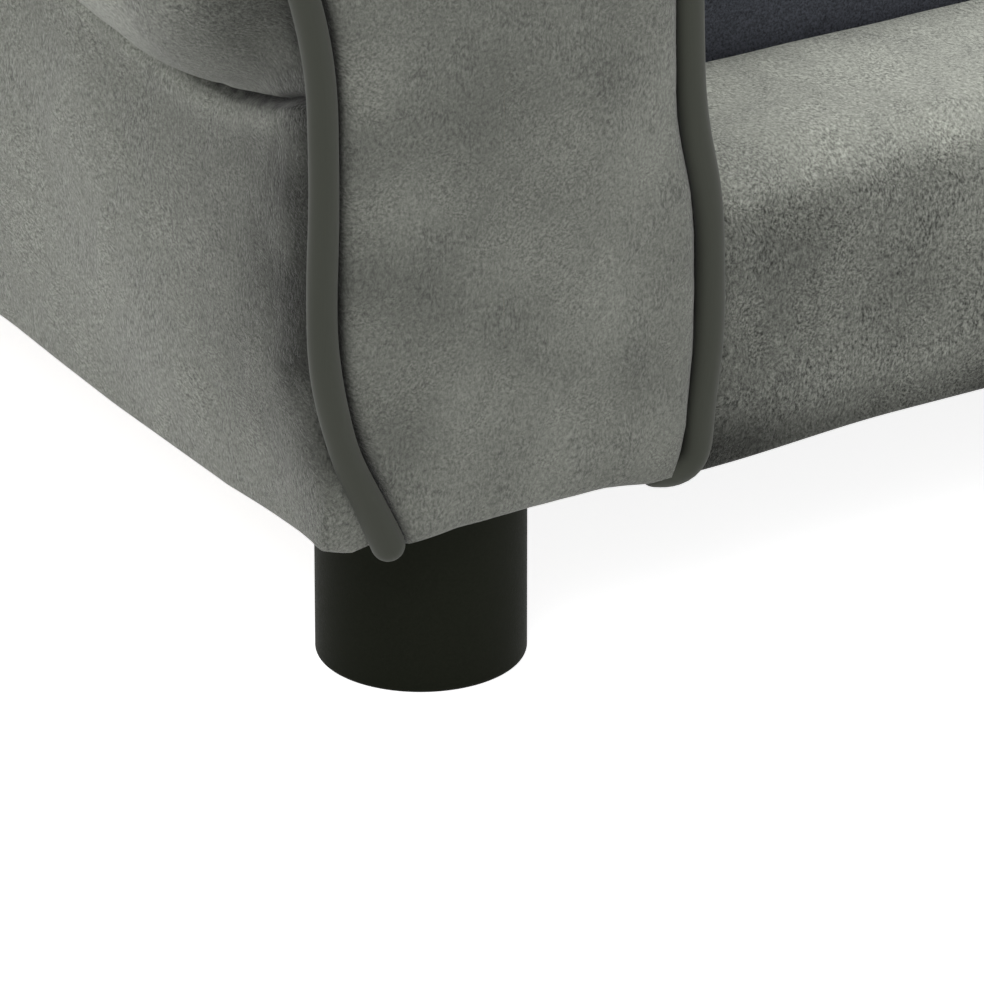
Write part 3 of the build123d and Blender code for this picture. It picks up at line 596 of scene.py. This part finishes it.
# Cover of the arm: how it swells, puckers and hangs, by the distance behind its front seam
pad = {
    "nearEnd": 12, "swollenAt": 60, "rearStart": 30, "counts": (12, 32, 59, 21),
    "swell": 58, "swellPower": 2.6, "drawIn": 0.9, "drawInLength": 30, "drawInPower": 1.5,
    "tuckBack": 12, "tuckPower": 1.5, "corner": 10.5, "cornerHigh": (55, 45), "cornerRise": 2.5,
    "cornerBack": 32, "dip": 4.2, "dipReach": 6.0, "cornerDip": 0.8, "rearDip": 2.6, "rearDipReach": 5,
    "wave": (0.7, 70, 3), "waveFrom": 20, "pleat": (0.16, 11, 5), "pleatAlong": (1, 0.25, 1),
    "pleatReach": 14, "pleatFrom": 4, "hemQuiet": 20, "creaseOpens": 90,
    "groove": (4.2, 2.4), "grooveWidth": (1.0, 0.8), "lip": 0.9, "lipAt": (-6, 3.5), "lipFrom": 20,
    "hemDrop": (
        (0, -4), (4.5, -4), (6.5, -0.6), (8, 1.6), (9.5, 1.9), (12, 0.4), (16, 0.2), (24, 0.7), (46, 2.3),
        (100, 2.5), (127, 1.7), (150, 0.7),
    ),
    "hemDropHigh": 14, "turnIn": 14, "turnUp": 0.6, "turnBack": 2,
}
# Painted shade and light on the arm cover: a dark band beside the front piping, a dark line in the crease,
# painted light on the lip below it and on the roll's underside; mottle and patches vary the tone
armNapAndShade = {
    "dark": ((0.2, 12), (0.75, 43)), "outside": 300, "lowShare": 0.7, "low": (47, 45),
    "highShare": 0.6, "high": (200, 30), "mottle": (0.1, 26, 61),
    "tonePatches": ((0.12, (335, -150, 118), (60, 30, 26)), (0.1, (345, -196, 180), (60, 16, 30))),
    "paintedLight": (0.16, 0.34), "shineFrom": (20, 40), "shineAt": (174, 22), "shineOutside": 315,
    "line": 1.0, "lineRagged": (0.45, 5, 66), "lineThins": 0.5, "lineLeast": 0.2, "lineTone": 1.0,
    "lip": 0.42, "lipAt": (-4.5, 3), "lipFrom": (6, 22), "coarse": 0.35,
}


def armCoverRow(distance, length):
    # One section of the cover, and how far along it each point lies from the crease
    ending = length - distance
    swell = 1 - (1 - min(distance / pad["swell"], 1)) ** pad["swellPower"]
    swell = swell * (1 - pad["drawIn"] * fall(ending, 0, pad["drawInLength"]) ** pad["drawInPower"])
    tuck = (1 - min(distance / pad["tuckBack"], 1)) ** pad["tuckPower"]
    line = armOutline(swell, tuck, 0, distance)
    out, off = rightNormals(line), lengths(line)
    off = off - off[creaseColumn]
    # Low at the outer corner the cloth comes forward round the edge before it meets the seam
    outside = np.arange(len(line)) <= creaseColumn
    corner = fall(line[:, 1], *pad["cornerHigh"]) * outside
    forward = pad["corner"] * (1 - decay(distance, pad["cornerRise"])) * fall(distance, 0, pad["cornerBack"])
    points = upright(line, arm["front"] + distance - forward * corner)
    # The cloth dives to the seam at both ends and stands full between them
    move = -pad["dip"] * decay(distance, pad["dipReach"]) * (1 - pad["cornerDip"] * corner)
    move = move - pad["rearDip"] * decay(ending, pad["rearDipReach"])
    move = move + ripple(points, *pad["wave"]) * rise(distance, 0, pad["waveFrom"])
    pleats = ripple(points * pad["pleatAlong"], *pad["pleat"])
    move = move + pleats * decay(distance, pad["pleatReach"]) * rise(distance, 0, pad["pleatFrom"])
    move = move * rise(line[:, 1], arm["foot"], pad["hemQuiet"])
    # Groove between the roll and the side panel
    opened = rise(distance, 0, pad["creaseOpens"])
    move = move - between(*pad["groove"], opened) * bell(off, 0, between(*pad["grooveWidth"], opened))
    move = move + pad["lip"] * bell(off, *pad["lipAt"]) * rise(distance, 0, pad["lipFrom"])
    line = line + out * move[:, None]
    drop = graph(distance, pad["hemDrop"])
    line[:, 1] -= drop * outside * fall(line[:, 1], arm["foot"], pad["hemDropHigh"])
    return upright(line, points[:, 1]), off


def armNapAndShadeAt(points, off, roll):
    x, z, behind = points[:, 0], points[:, 2], points[:, 1] - arm["front"]
    # Painted shade: a dark band beside the front seam, weaker low and high
    napAndPaintedShade = sum(tone * bell(behind, 0, width) for tone, width in armNapAndShade["dark"])
    napAndPaintedShade = napAndPaintedShade * (x > armNapAndShade["outside"])
    napAndPaintedShade = napAndPaintedShade * (1 - armNapAndShade["lowShare"] * fall(z, *armNapAndShade["low"]))
    napAndPaintedShade = napAndPaintedShade * (1 - armNapAndShade["highShare"] * rise(z, *armNapAndShade["high"]))
    napAndPaintedShade = napAndPaintedShade * (1 + ripple(points, *armNapAndShade["mottle"])) + tonePatches(points, armNapAndShade["tonePatches"])
    if roll:
        # Painted light on the lower part of the roll, where it is in shade
        paintedLight = between(*armNapAndShade["paintedLight"], rise(behind, *armNapAndShade["shineFrom"]))
        napAndPaintedShade = napAndPaintedShade - paintedLight * bell(z, *armNapAndShade["shineAt"]) * (x > armNapAndShade["shineOutside"])
    # Painted shade: the crease is a thin ragged dark line, over a painted highlight on the lip of pile below
    # it
    thin = between(1, armNapAndShade["lineThins"], rise(behind, 0, pad["creaseOpens"]))
    line = armNapAndShade["line"] * (1 + ripple(points, *armNapAndShade["lineRagged"])) * thin
    napAndPaintedShade = napAndPaintedShade - armNapAndShade["lip"] * bell(off, *armNapAndShade["lipAt"]) * rise(behind, *armNapAndShade["lipFrom"]) * (off < 0)
    return napAndPaintedShade + armNapAndShade["lineTone"] * bell(off, 0, np.maximum(line, armNapAndShade["lineLeast"]))


def armCover():
    length = arm["rear"] - arm["front"]
    ends = (0, pad["nearEnd"], pad["swollenAt"], length - pad["rearStart"], length)
    rows, offs = zip(*[armCoverRow(d, length) for d in stations(*zip(ends, ends[1:], pad["counts"]))])
    rows, offs = np.array(rows), np.array(offs)
    # The hem is turned under and lies against the base board
    outer, inner = rows[:, :1].copy(), rows[:, -1:].copy()
    outer[:, :, 0] -= pad["turnIn"]
    outer[:, :, 1] = np.maximum(outer[:, :, 1], arm["front"] + pad["turnBack"])
    inner[:, :, 0] += pad["turnIn"]
    for hem in (outer, inner):
        hem[:, :, 2] += pad["turnUp"]
    rows = np.concatenate([outer, rows, inner], 1)
    offs = np.concatenate([offs[:, :1], offs, offs[:, -1:]], 1)
    crease = creaseColumn + 1
    for name, part in (("Side", slice(crease + 1)), ("Roll", slice(crease, None))):
        points, faces = surface(rows[:, part], flip=True)
        napAndPaintedShade = armNapAndShadeAt(points, offs[:, part].ravel(), name == "Roll")
        nodes = [f"arm_{name.lower()}_{layer}" for layer in ("cover", "foam")]
        bothSides(f"Arm{name}", points, faces, "plush", nodes, soft, napAndPaintedShade, armNapAndShade["coarse"])


armCover()
print("arm covers made")

# Padded panel at the front of the arm: rings from its seam inwards to a spine
front = {
    "inset": 4.1, "flange": 0.8, "flangeUp": 0.6, "edge": -212.7, "foremost": -224.9, "footCount": 40,
    "steps": (0, 0.5, 1.1, 1.8, 2.7, 3.8, 5.2, 7, 9, 11.5, 14.5, 18, 22, 27, 33, 40), "nearest": 0.985,
    "spine": ((290, 92), (290, 205)),
    "rise": 6.6, "riseReach": ((245, 6.0), (300, 3.0)), "crown": 4.6, "crownReach": 16,
    "overlap": 1.8, "overlapAcross": (242, 20), "overlapHigh": (190, 20),
    "cornerIn": 3.3, "cornerHigh": 15, "cornerPower": 1.8, "cornerAcross": (238, 20),
    "hem": ((243, -3.0), (258, -0.8), (300, -0.8), (311, -1.6)), "hemHigh": 22,
    "wave": (0.35, 48, 11), "waveFrom": 12,
    "pleat": (0.3, 10, 12), "pleatAlong": (1, 0, 1), "pleatReach": 8, "pleatFrom": 3,
    # Painted shade of the panel: its base darkness, the turned inner edge and the seam
    "napAndPaintedShade": 0.36, "tonePatches": ((0.15, (334, -220, 130), (9, 60, 60)), (-0.12, (245, -220, 120), (12, 60, 60))),
    "turned": 0.28, "turnedReach": 4.5, "turnedAcross": (250, 8), "seamDark": (0.45, 0.8),
    "mottle": (0.07, 40, 62), "lowPatch": ((-0.19, (275, -220, 62), (40, 60, 16)),), "coarse": 0.1,
}


def frontEdges():
    # The panel's edge, and the flange that lies under the piping
    edges = []
    for inset in (front["inset"], front["flange"]):
        line = toeIn(armOutline(0, 1, inset))
        edges.append(np.concatenate([line, straight(line[-1], line[0], front["footCount"])[1:]]))
    line, flange = edges
    # On the inner side the panel rolls over against its piping
    over = fall(line[:, 0], *front["overlapAcross"]) * fall(line[:, 1], *front["overlapHigh"])
    line[:, 0] -= front["overlap"] * over
    # Its lower inner corner is rounded, and the piping shows there
    corner = np.clip(1 - (line[:, 1] - arm["foot"]) / front["cornerHigh"], 0, 1) ** front["cornerPower"]
    line[:, 0] += front["cornerIn"] * corner * fall(line[:, 0], *front["cornerAcross"])
    # The hem is a little higher over the leg than at the two pipings
    low = graph(line[:, 0], front["hem"]) * fall(line[:, 1], arm["foot"], front["hemHigh"])
    line[:, 1] += low
    flange[:, 1] += low + front["flangeUp"] * (low < 0)
    return line, flange


def armFront():
    line, flange = frontEdges()
    spine = np.clip(line, *front["spine"])
    reach = np.linalg.norm(line - spine, axis=1)
    riseReach = graph(line[:, 0], front["riseReach"])
    # The first ring lies under the piping and closes the seam
    rings = [upright(flange, front["edge"])]
    for step in front["steps"]:
        share = np.minimum(step / np.maximum(reach, 1), front["nearest"])
        if step == front["steps"][-1]:
            share = np.ones(len(line))
        flat = between(line, spine, share[:, None])
        depth = np.minimum(step, reach)
        y = front["edge"] - front["rise"] * rounded(depth / riseReach)
        y = y - front["crown"] * (1 - decay(depth, front["crownReach"]))
        points = upright(flat, y)
        points[:, 1] -= ripple(points, *front["wave"]) * rise(depth, 0, front["waveFrom"])
        pleats = ripple(points * front["pleatAlong"], *front["pleat"])
        points[:, 1] -= pleats * decay(depth, front["pleatReach"]) * rise(depth, 0, front["pleatFrom"])
        points[:, 1] = np.maximum(points[:, 1], front["foremost"])
        rings.append(points)
    points, faces = surface(rings, closed=True, flip=True)
    # Painted shade: the panel is darker overall, darkest in the seam and where it turns away on the inner
    # side; patches and mottle vary the tone
    inwards = np.repeat([0, *front["steps"]], len(line))
    seam = fall(inwards, *front["seamDark"])
    turned = fall(inwards, 0, front["turnedReach"]) * fall(points[:, 0], *front["turnedAcross"])
    napAndPaintedShade = front["napAndPaintedShade"] + tonePatches(points, front["tonePatches"]) + front["turned"] * turned
    napAndPaintedShade = between(napAndPaintedShade, 1, seam) + ripple(points, *front["mottle"]) + tonePatches(points, front["lowPatch"])
    nodes = ["arm_front_cover", "arm_front_foam"]
    bothSides("ArmFront", points, faces, "plush", nodes, firm, napAndPaintedShade, front["coarse"])


armFront()
print("arm fronts made")

# Piping round the front of the arm; its inner end curls in under the panel
piping = {
    "seam": -217, "radius": 3.55, "unevenRadius": (0.08, 30, 23), "thicker": 0.45, "thickerHigh": 30,
    "curl": ((0, 52), (0.7, 49), (2.6, 46.6), (5.4, 45.6), (8.4, 45.7), (11, 46.4)), "curlBack": 0.1,
    "cutOff": 3, "spacing": 1.4, "easings": 3, "sides": 24, "sway": (0.25, 60, 21), "weaving": (0.2, 45, 22),
    "innerAcross": (234, 20), "lean": 0.9, "leanHigh": (130, 40), "press": (0.7, -0.4), "pressHigh": (50, 60),
}


def armPiping():
    line = toeIn(armOutline(0, 1, 0))
    path = upright(line[:-piping["cutOff"]], piping["seam"])
    start = arm["seat"] + arm["footStep"]
    inwards, z = np.transpose(piping["curl"])
    curl = spread(start + inwards, piping["seam"] + piping["curlBack"] * inwards, z)
    path = np.concatenate([path, curl])
    path = evened(path, int(lengths(path)[-1] / piping["spacing"]))
    for _ in range(piping["easings"]):
        path[1:-1] = (path[:-2] + 2 * path[1:-1] + path[2:]) / 4
    lean = piping["lean"] * fall(path[:, 0], *piping["innerAcross"]) * fall(path[:, 2], *piping["leanHigh"])
    path[:, 0] += ripple(path, *piping["sway"]) - lean
    path[:, 1] += ripple(path, *piping["weaving"])
    # Low on the inner side it comes forward and presses against the panel
    pressed = fall(path[:, 0], *piping["innerAcross"]) * fall(path[:, 2], *piping["pressHigh"])
    path[:, :2] += np.outer(pressed, piping["press"])
    thicker = piping["thicker"] * fall(path[:, 2], arm["foot"], piping["thickerHigh"])
    radii = piping["radius"] + ripple(path, *piping["unevenRadius"]) + thicker * (path[:, 0] > arm["toeFrom"])
    bothSides("ArmPiping", *tube(path, radii, piping["sides"]), "piping_cloth", ["arm_piping"])


armPiping()
print("arm pipings made")

rail = {
    "front": -215, "rear": -153, "top": 117, "hem": 44.6, "rearFoot": 84, "half": 230.6,
    "frontRound": 20, "rearRound": 3, "hemRound": 1.5, "turnIn": 30, "turnUp": 0.6,
    "counts": (6, 8, 26, 22, 16, 12, 12),
    "endSteps": (0, 0.4, 1, 2, 3.2, 4.6, 6.2, 8, 10.5, 14, 18, 23), "middleFrom": 30, "middleCount": 109,
    "bulge": 1.6, "bulgeFrom": 40, "wave": (0.8, 90, 31), "waveAlong": (1, 0.6, 0.6), "dent": (0.25, 26, 32),
    "quiet": 0.8, "quietFrom": (-195, 20), "hemQuiet": 20, "endRound": 5.5, "endReach": 6,
    "endDrop": 2.2, "endDropReach": 55, "reachOut": 2.6, "reachHigh": (50, 40), "reachOver": 12,
}
# Painted shade and light on the rail: darker on the face, low by the hem and at the ends, lighter on the top
railNapAndShade = {
    "face": 0.36, "faceMiddle": (-0.06, 40, 60), "faceEnd": (0.08, 10), "faceMottle": (0.1, 55, 63),
    "low": (0.42, 16), "top": 0.04, "topMiddle": (-0.14, 0, 70), "topMottle": (0.05, 50, 65),
    "edge": (104.5, 8), "edgeWander": (1.5, 60, 64), "coarse": (1, 0.4),
}


def railProfile():
    # From under the front hem, over the top, to the foot of the rear face
    f, r, t, h = rail["front"], rail["rear"], rail["top"], rail["hem"]
    fr, rr, hr = rail["frontRound"], rail["rearRound"], rail["hemRound"]
    line = joined(
        rail["counts"],
        (straight, (f + rail["turnIn"], h + rail["turnUp"]), (f + hr, h)),
        (arc, (f + hr, h + hr), hr, -90, -180),
        (straight, (f, h + hr), (f, t - fr)),
        (arc, (f + fr, t - fr), fr, 180, 90),
        (straight, (f + fr, t), (r - rr, t)),
        (arc, (r - rr, t - rr), rr, 90, 0),
        (straight, (r, t - rr), (r, rail["rearFoot"])),
    )
    return np.concatenate([line, [(r, rail["rearFoot"])]])


def railRow(x, profile, out):
    end = rail["half"] - abs(x)
    y, z = profile.T
    points = spread(x, y, z)
    high = np.clip((z - rail["hem"]) / (rail["top"] - rail["hem"]), 0, 1)
    waves = ripple(points * rail["waveAlong"], *rail["wave"]) + ripple(points, *rail["dent"])
    move = waves * (1 - rail["quiet"] * rise(y, *rail["quietFrom"]))
    move = move + rail["bulge"] * np.sin(high * math.pi) * rise(end, 0, rail["bulgeFrom"])
    move = move - rail["endRound"] * (1 - rounded(end / rail["endReach"]))
    upper = rise(z, rail["hem"], rail["hemQuiet"])
    moved = profile + out * (move * upper)[:, None]
    moved[:, 1] -= rail["endDrop"] * fall(end, 0, rail["endDropReach"]) * (1 - upper)
    # Low down the ends reach out to the foot of the arms
    further = rail["reachOut"] * fall(z, *rail["reachHigh"]) * max(1 - end / rail["reachOver"], 0)
    return spread(x + math.copysign(1, x) * further, moved[:, 0], moved[:, 1])


def railNapAndShadeAt(points):
    # Painted shade and light: darker on the face, most low by the hem and at the ends, lighter on the top,
    # with a wandering edge between them; mottle varies both
    end, z = rail["half"] - np.abs(points[:, 0]), points[:, 2]
    tone, start, length = railNapAndShade["faceMiddle"]
    face = railNapAndShade["face"] + tone * rise(end, start, length) + ripple(points, *railNapAndShade["faceMottle"])
    face = face + railNapAndShade["faceEnd"][0] * decay(end, railNapAndShade["faceEnd"][1])
    face = face + railNapAndShade["low"][0] * fall(z, rail["hem"], railNapAndShade["low"][1])
    tone, start, length = railNapAndShade["topMiddle"]
    top = railNapAndShade["top"] + tone * rise(end, start, length) + ripple(points, *railNapAndShade["topMottle"])
    above = rise(z - ripple(points * (1, 0, 0), *railNapAndShade["edgeWander"]), *railNapAndShade["edge"])
    return between(face, top, above), between(*railNapAndShade["coarse"], above)


def railCover():
    profile = railProfile()
    out = -rightNormals(profile)
    steps, inner = np.array(rail["endSteps"]), rail["half"] - rail["middleFrom"]
    middle = stations((-inner, inner, rail["middleCount"]))
    columns = np.concatenate([steps - rail["half"], middle, rail["half"] - steps[::-1]])
    points, faces = surface([railRow(x, profile, out) for x in columns], flip=True)
    napAndPaintedShade, coarse = railNapAndShadeAt(points)
    makePiece("frontRail", points, faces, "plush", "sofa", ["rail_cover", "rail_foam"], soft, napAndPaintedShade, coarse)


railCover()
print("front rail made")

cushion = {
    "half": (226.0, 144.0), "middle": -6.0, "corner": 26, "cornerLess": 0.3, "cornerLeast": 10, "count": 260,
    "cornerCount": 24, "base": 83.3, "lowSeam": 88.3, "topSeam": 139.3,
    "seamRings": ((-1.5, 3.5), (0.6, 1.6), (2.2, 2.6)),
    "topSteps": (5, 8, 12, 17, 24, 33, 44, 57, 72, 90, 108, 122, 131), "crown": 13.5, "crownReach": 26,
    "crownFull": 139, "topLift": 1.4, "topWave": (1.1, 120, 41), "waveFrom": 30, "waveSink": 0.6,
    "pleat": (0.7, 16, 42), "pleatAlong": (1, 1, 0), "pleatReach": 12,
    "borderInset": 1.9, "borderBulge": 1.5, "borderPull": 1.0, "borderTop": 1.0, "borderRows": 22,
    "borderRipple": (0.5, 22, 43), "borderAlong": (1, 1, 0.3), "borderScale": 200,
    "baseRings": ((3, 2.6), (1, 5), (0, 9), (0, 20), (0, 60), (0, 110), (0, 131)),
    "pipe": 2.8, "pipeInset": 0.8, "pipePull": 0.4, "pipeWave": (0.5, 70, 44),
}
zipWindow = {"behind": 136, "half": 170, "low": 107, "high": 120.6}


def roundedLoop(halfX, halfY, radius):
    # Evenly stepped rounded rectangle around the origin, anticlockwise
    sx, sy = halfX - radius, halfY - radius
    loop = []
    for x, y, start in ((sx, -sy, -90), (sx, sy, 0), (-sx, sy, 90), (-sx, -sy, 180)):
        end = math.radians(start + 90)
        loop.append(arc((x, y), radius, start, start + 90, cushion["cornerCount"]))
        loop.append([(x + radius * math.cos(end), y + radius * math.sin(end))])
    loop = np.concatenate(loop + [loop[0][:1]])
    return evened(loop, cushion["count"])[:-1]


def cushionRing(z, inset, pull=0.0):
    hx, hy = cushion["half"]
    radius = max(cushion["corner"] - inset * cushion["cornerLess"], cushion["cornerLeast"])
    loop = roundedLoop(hx - inset, hy - inset, radius)
    # The sides draw in a little between the corners
    loop[:, 0] *= 1 - pull / hx * np.cos(np.clip(loop[:, 1] / hy, -1, 1) * math.pi / 2)
    loop[:, 1] *= 1 - pull / hy * np.cos(np.clip(loop[:, 0] / hx, -1, 1) * math.pi / 2)
    return spread(loop[:, 0], loop[:, 1] + cushion["middle"], z)


def cushionTop():
    # Crowned panel with small pleats along the piping
    rings = [cushionRing(cushion["topSeam"] + up, inset) for up, inset in cushion["seamRings"]]
    full = 1 - decay(cushion["crownFull"], cushion["crownReach"])
    for s in cushion["topSteps"]:
        crown = cushion["crown"] * (1 - decay(s, cushion["crownReach"])) / full
        ring = cushionRing(cushion["topSeam"] + crown + cushion["topLift"], s)
        wave = ripple(ring, *cushion["topWave"]) * rise(s, 0, cushion["waveFrom"])
        ring[:, 2] += wave - cushion["waveSink"]
        pleats = ripple(ring * cushion["pleatAlong"], *cushion["pleat"])
        ring[:, 2] += pleats * decay(s, cushion["pleatReach"])
        rings.append(ring)
    makePiece("cushionTop", *capped(rings), "plush", "cushion", ["cushion_top", "cushion_foam"], soft)


def cushionBorder():
    # It bulges between its seams, and is open where the zip lies
    low, top = cushion["lowSeam"], cushion["topSeam"] - cushion["borderTop"]
    rings = []
    for share in np.linspace(0, 1, cushion["borderRows"]):
        bulge = math.sin(share * math.pi)
        inset = cushion["borderInset"] - cushion["borderBulge"] * bulge
        ring = cushionRing(between(low, top, share), inset, cushion["borderPull"])
        away = (ring[:, :2] - (0, cushion["middle"])) / cushion["borderScale"]
        uneven = ripple(ring * cushion["borderAlong"], *cushion["borderRipple"]) * bulge
        ring[:, :2] += away * uneven[:, None]
        rings.append(ring)
    points, faces = surface(rings, closed=True)
    kept = []
    for face in faces:
        x, y, z = points[face].mean(0)
        level = zipWindow["low"] < z < zipWindow["high"]
        if not (level and y > zipWindow["behind"] and abs(x) < zipWindow["half"]):
            kept.append(face)
    makePiece("cushionBorder", points, kept, "dark_cloth", "cushion", ["cushion_border"], soft)


def cushionBase():
    rings = [cushionRing(cushion["lowSeam"], cushion["borderInset"], cushion["borderPull"])]
    rings += [cushionRing(cushion["base"] + up, inset) for up, inset in cushion["baseRings"]]
    makePiece("cushionBase", *capped(rings, flip=True), "dark_cloth", "cushion", ["cushion_base"], soft)


def cushionPiping():
    ring = cushionRing(cushion["topSeam"], cushion["pipeInset"], cushion["pipePull"])
    ring[:, 2] += ripple(ring, *cushion["pipeWave"])
    points, faces = closedTube(ring, cushion["pipe"])
    makePiece("cushionPiping", points, faces, "piping_cloth", "cushion", ["cushion_piping"])


cushionTop()
cushionBorder()
cushionBase()
cushionPiping()
print("cushion made")

back = {
    "front": 150, "rear": 225, "foot": 46, "side": 335, "end": 350, "low": 130, "high": 175, "shoulder": 272,
    "shoulderRound": 44, "top": 300, "frontRound": 31, "rearRound": 14, "quarter": 0.5523,
    "arch": (0.62, 0.42), "counts": (24, 16, 14, 22, 60), "spine": ((-250, 46), (250, 46)), "follow": 0.05,
    "faceSteps": (1.0, 0.85, 0.7, 0.55, 0.42, 0.3, 0.2, 0.12, 0.06),
    "crown": 5.5, "crownHigh": (100, 60), "frontCount": 12, "rearCount": 7, "pinch": 0.5, "pinchPower": 8,
    "seamInset": 4.5, "seamDrop": 3, "seamIn": 1.6, "quietBelow": (60, 40), "waveAlong": (1, 0.5, 1),
    "depthWave": (0.9, 95, 51), "depthWaveTo": 200, "heightWave": (0.9, 110, 52),
}
rearPanel = {
    "inset": 2.6, "drop": 1.2, "steps": (0, 0.01, 0.025, 0.06, 0.15, 0.35, 0.6, 1.0), "edgeIn": 1.4,
    "edgeRise": 1.2, "edgeShare": 0.03,
}


def backOutline(inset, drop):
    # Right foot, over the arched top, to the left foot
    s, e = back["side"] - inset, back["end"] - inset
    x, z = back["end"] - back["shoulderRound"], back["shoulder"] - back["shoulderRound"]
    top, crest = back["shoulder"] - drop, back["top"] - drop
    middle, k = (back["low"] + back["high"]) / 2, back["quarter"]
    flat, bend = back["arch"]
    half = joined(
        back["counts"],
        (straight, (s, back["foot"]), (s, back["low"])),
        (curve, [(s, back["low"]), (s, middle), (e, middle), (e, back["high"])]),
        (straight, (e, back["high"]), (e, z)),
        (curve, [(e, z), (e, between(z, top, k)), (between(x, e, k), top), (x, top)]),
        (curve, [(x, top), (x * flat, top), (x * bend, crest), (0, crest)]),
    )
    return np.concatenate([half, [[0, crest]], half[::-1] * (-1, 1)])


def backCover():
    fr, rr, follow = back["frontRound"], back["rearRound"], back["follow"]
    # Front face from its spine at the foot outwards, with a soft crown
    edge, spine, rings = backOutline(fr * follow, fr), np.clip(backOutline(0, 0), *back["spine"]), []
    for s in back["faceSteps"]:
        flat = between(edge, spine, s)
        lift = rise(flat[:, 1], *back["crownHigh"]) * back["crown"] * (1 - (1 - s) ** 2)
        rings.append(upright(flat, back["front"] - lift))
    for a in np.radians(np.linspace(90, 0, back["frontCount"] + 1)):
        step, depth = fr * (1 - math.cos(a)), fr * (1 - math.sin(a))
        edge = backOutline(step * follow + back["pinch"] * math.sin(a) ** back["pinchPower"], step)
        rings.append(upright(edge, back["front"] + depth))
    for a in np.radians(np.linspace(0, 90, back["rearCount"] + 1)):
        step, depth = rr * (1 - math.cos(a)), rr * (1 - math.sin(a))
        edge = backOutline(step * follow, step)
        rings.append(upright(edge, back["rear"] - depth))
    # Seam with the rear panel: a small dip
    edge = backOutline(back["seamInset"], rr + back["seamDrop"])
    rings.append(upright(edge, back["rear"] - back["seamIn"]))
    points, faces = surface(rings, flip=True)
    high = rise(points[:, 2], *back["quietBelow"])
    ahead = points[:, 1] < back["depthWaveTo"]
    points[:, 1] += ripple(points * back["waveAlong"], *back["depthWave"]) * high * ahead
    points[:, 2] += ripple(points * back["waveAlong"], *back["heightWave"]) * high
    makePiece("backCover", points, faces, "plush", "sofa", ["back_cover", "back_foam"], firm)


def backRearPanel():
    outer = backOutline(rearPanel["inset"], back["rearRound"] + rearPanel["drop"])
    spine = np.clip(backOutline(0, 0), *back["spine"])
    rings = []
    for s in rearPanel["steps"]:
        shape = between(outer, spine, s)
        y = back["rear"] - rearPanel["edgeIn"] + rearPanel["edgeRise"] * smooth(s / rearPanel["edgeShare"])
        rings.append(upright(shape, y))
    makePiece("rearPanel", *surface(rings, flip=True), "plush", "sofa", ["rear_cover"])


backCover()
backRearPanel()
print("back made")

# White surroundings and soft lights
lights = {
    "key": {"place": (-1.6, -1.2, 2.2), "size": 1.6, "power": 31},
    "top": {"place": (0.4, 0.3, 2.4), "size": 2.0, "power": 56},
    "fill": {"place": (1.6, -2.2, 1.0), "size": 2.0, "power": 6},
}
room = {
    "light": 0.42, "seen": 1.0, "floor": 0.9, "floorRoughness": 0.9, "floorGlow": 0.86, "floorHalf": 6.0,
    "aim": (-0.1, -0.1, 0.12),
}


def seenDirectly(tree):
    # 1 for rays from the camera, from a gloss and through a clear part
    ray = node(tree, "ShaderNodeLightPath")
    either = maths(tree, "MAXIMUM", ray.outputs["Is Camera Ray"], ray.outputs["Is Glossy Ray"])
    return maths(tree, "MAXIMUM", either, ray.outputs["Is Transmission Ray"])


def shadeBy(tree, lighting, seen, output):
    # One shader lights the object, and the other is what is seen
    mix = node(tree, "ShaderNodeMixShader")
    for source, socket in zip((seenDirectly(tree), lighting.outputs[0], seen.outputs[0]), mix.inputs):
        tree.links.new(source, socket)
    tree.links.new(mix.outputs[0], tree.nodes[output].inputs["Surface"])


def makeWorld():
    world = bpy.data.worlds.new("world")
    bpy.context.scene.world = world
    world.use_nodes = True
    tree = world.node_tree
    lit = tree.nodes["Background"]
    white = (1, 1, 1, 1)
    setInputs(lit, {"Color": white, "Strength": room["light"]})
    seen = node(tree, "ShaderNodeBackground", Color=white, Strength=room["seen"])
    shadeBy(tree, lit, seen, "World Output")


def makeFloor():
    # The floor adds a glow to its own lit colour: white in the open, and softly shaded under the object
    material, tree, bsdf = newMaterial("floor")
    setInputs(bsdf, {"Base Color": (*grey(room["floor"]), 1), "Roughness": room["floorRoughness"]})
    glow = node(tree, "ShaderNodeEmission", Strength=room["floorGlow"])
    glowing = node(tree, "ShaderNodeAddShader")
    tree.links.new(bsdf.outputs[0], glowing.inputs[0])
    tree.links.new(glow.outputs[0], glowing.inputs[1])
    shadeBy(tree, bsdf, glowing, "Material Output")
    mesh = bpy.data.meshes.new("floor")
    s = room["floorHalf"]
    mesh.from_pydata([(-s, -s, 0), (s, -s, 0), (s, s, 0), (-s, s, 0)], [], [(0, 1, 2, 3)])
    mesh.materials.append(material)
    floor = bpy.data.objects.new("floor", mesh)
    bpy.context.scene.collection.objects.link(floor)


def makeLights():
    for name, light in lights.items():
        data = bpy.data.lights.new(name, "AREA")
        data.energy = light["power"]
        data.size = light["size"]
        obj = bpy.data.objects.new(name, data)
        obj.location = light["place"]
        aim = Vector(room["aim"]) - Vector(light["place"])
        obj.rotation_euler = aim.to_track_quat("-Z", "Y").to_euler()
        bpy.context.scene.collection.objects.link(obj)


makeWorld()
makeFloor()
makeLights()
print("stage made")
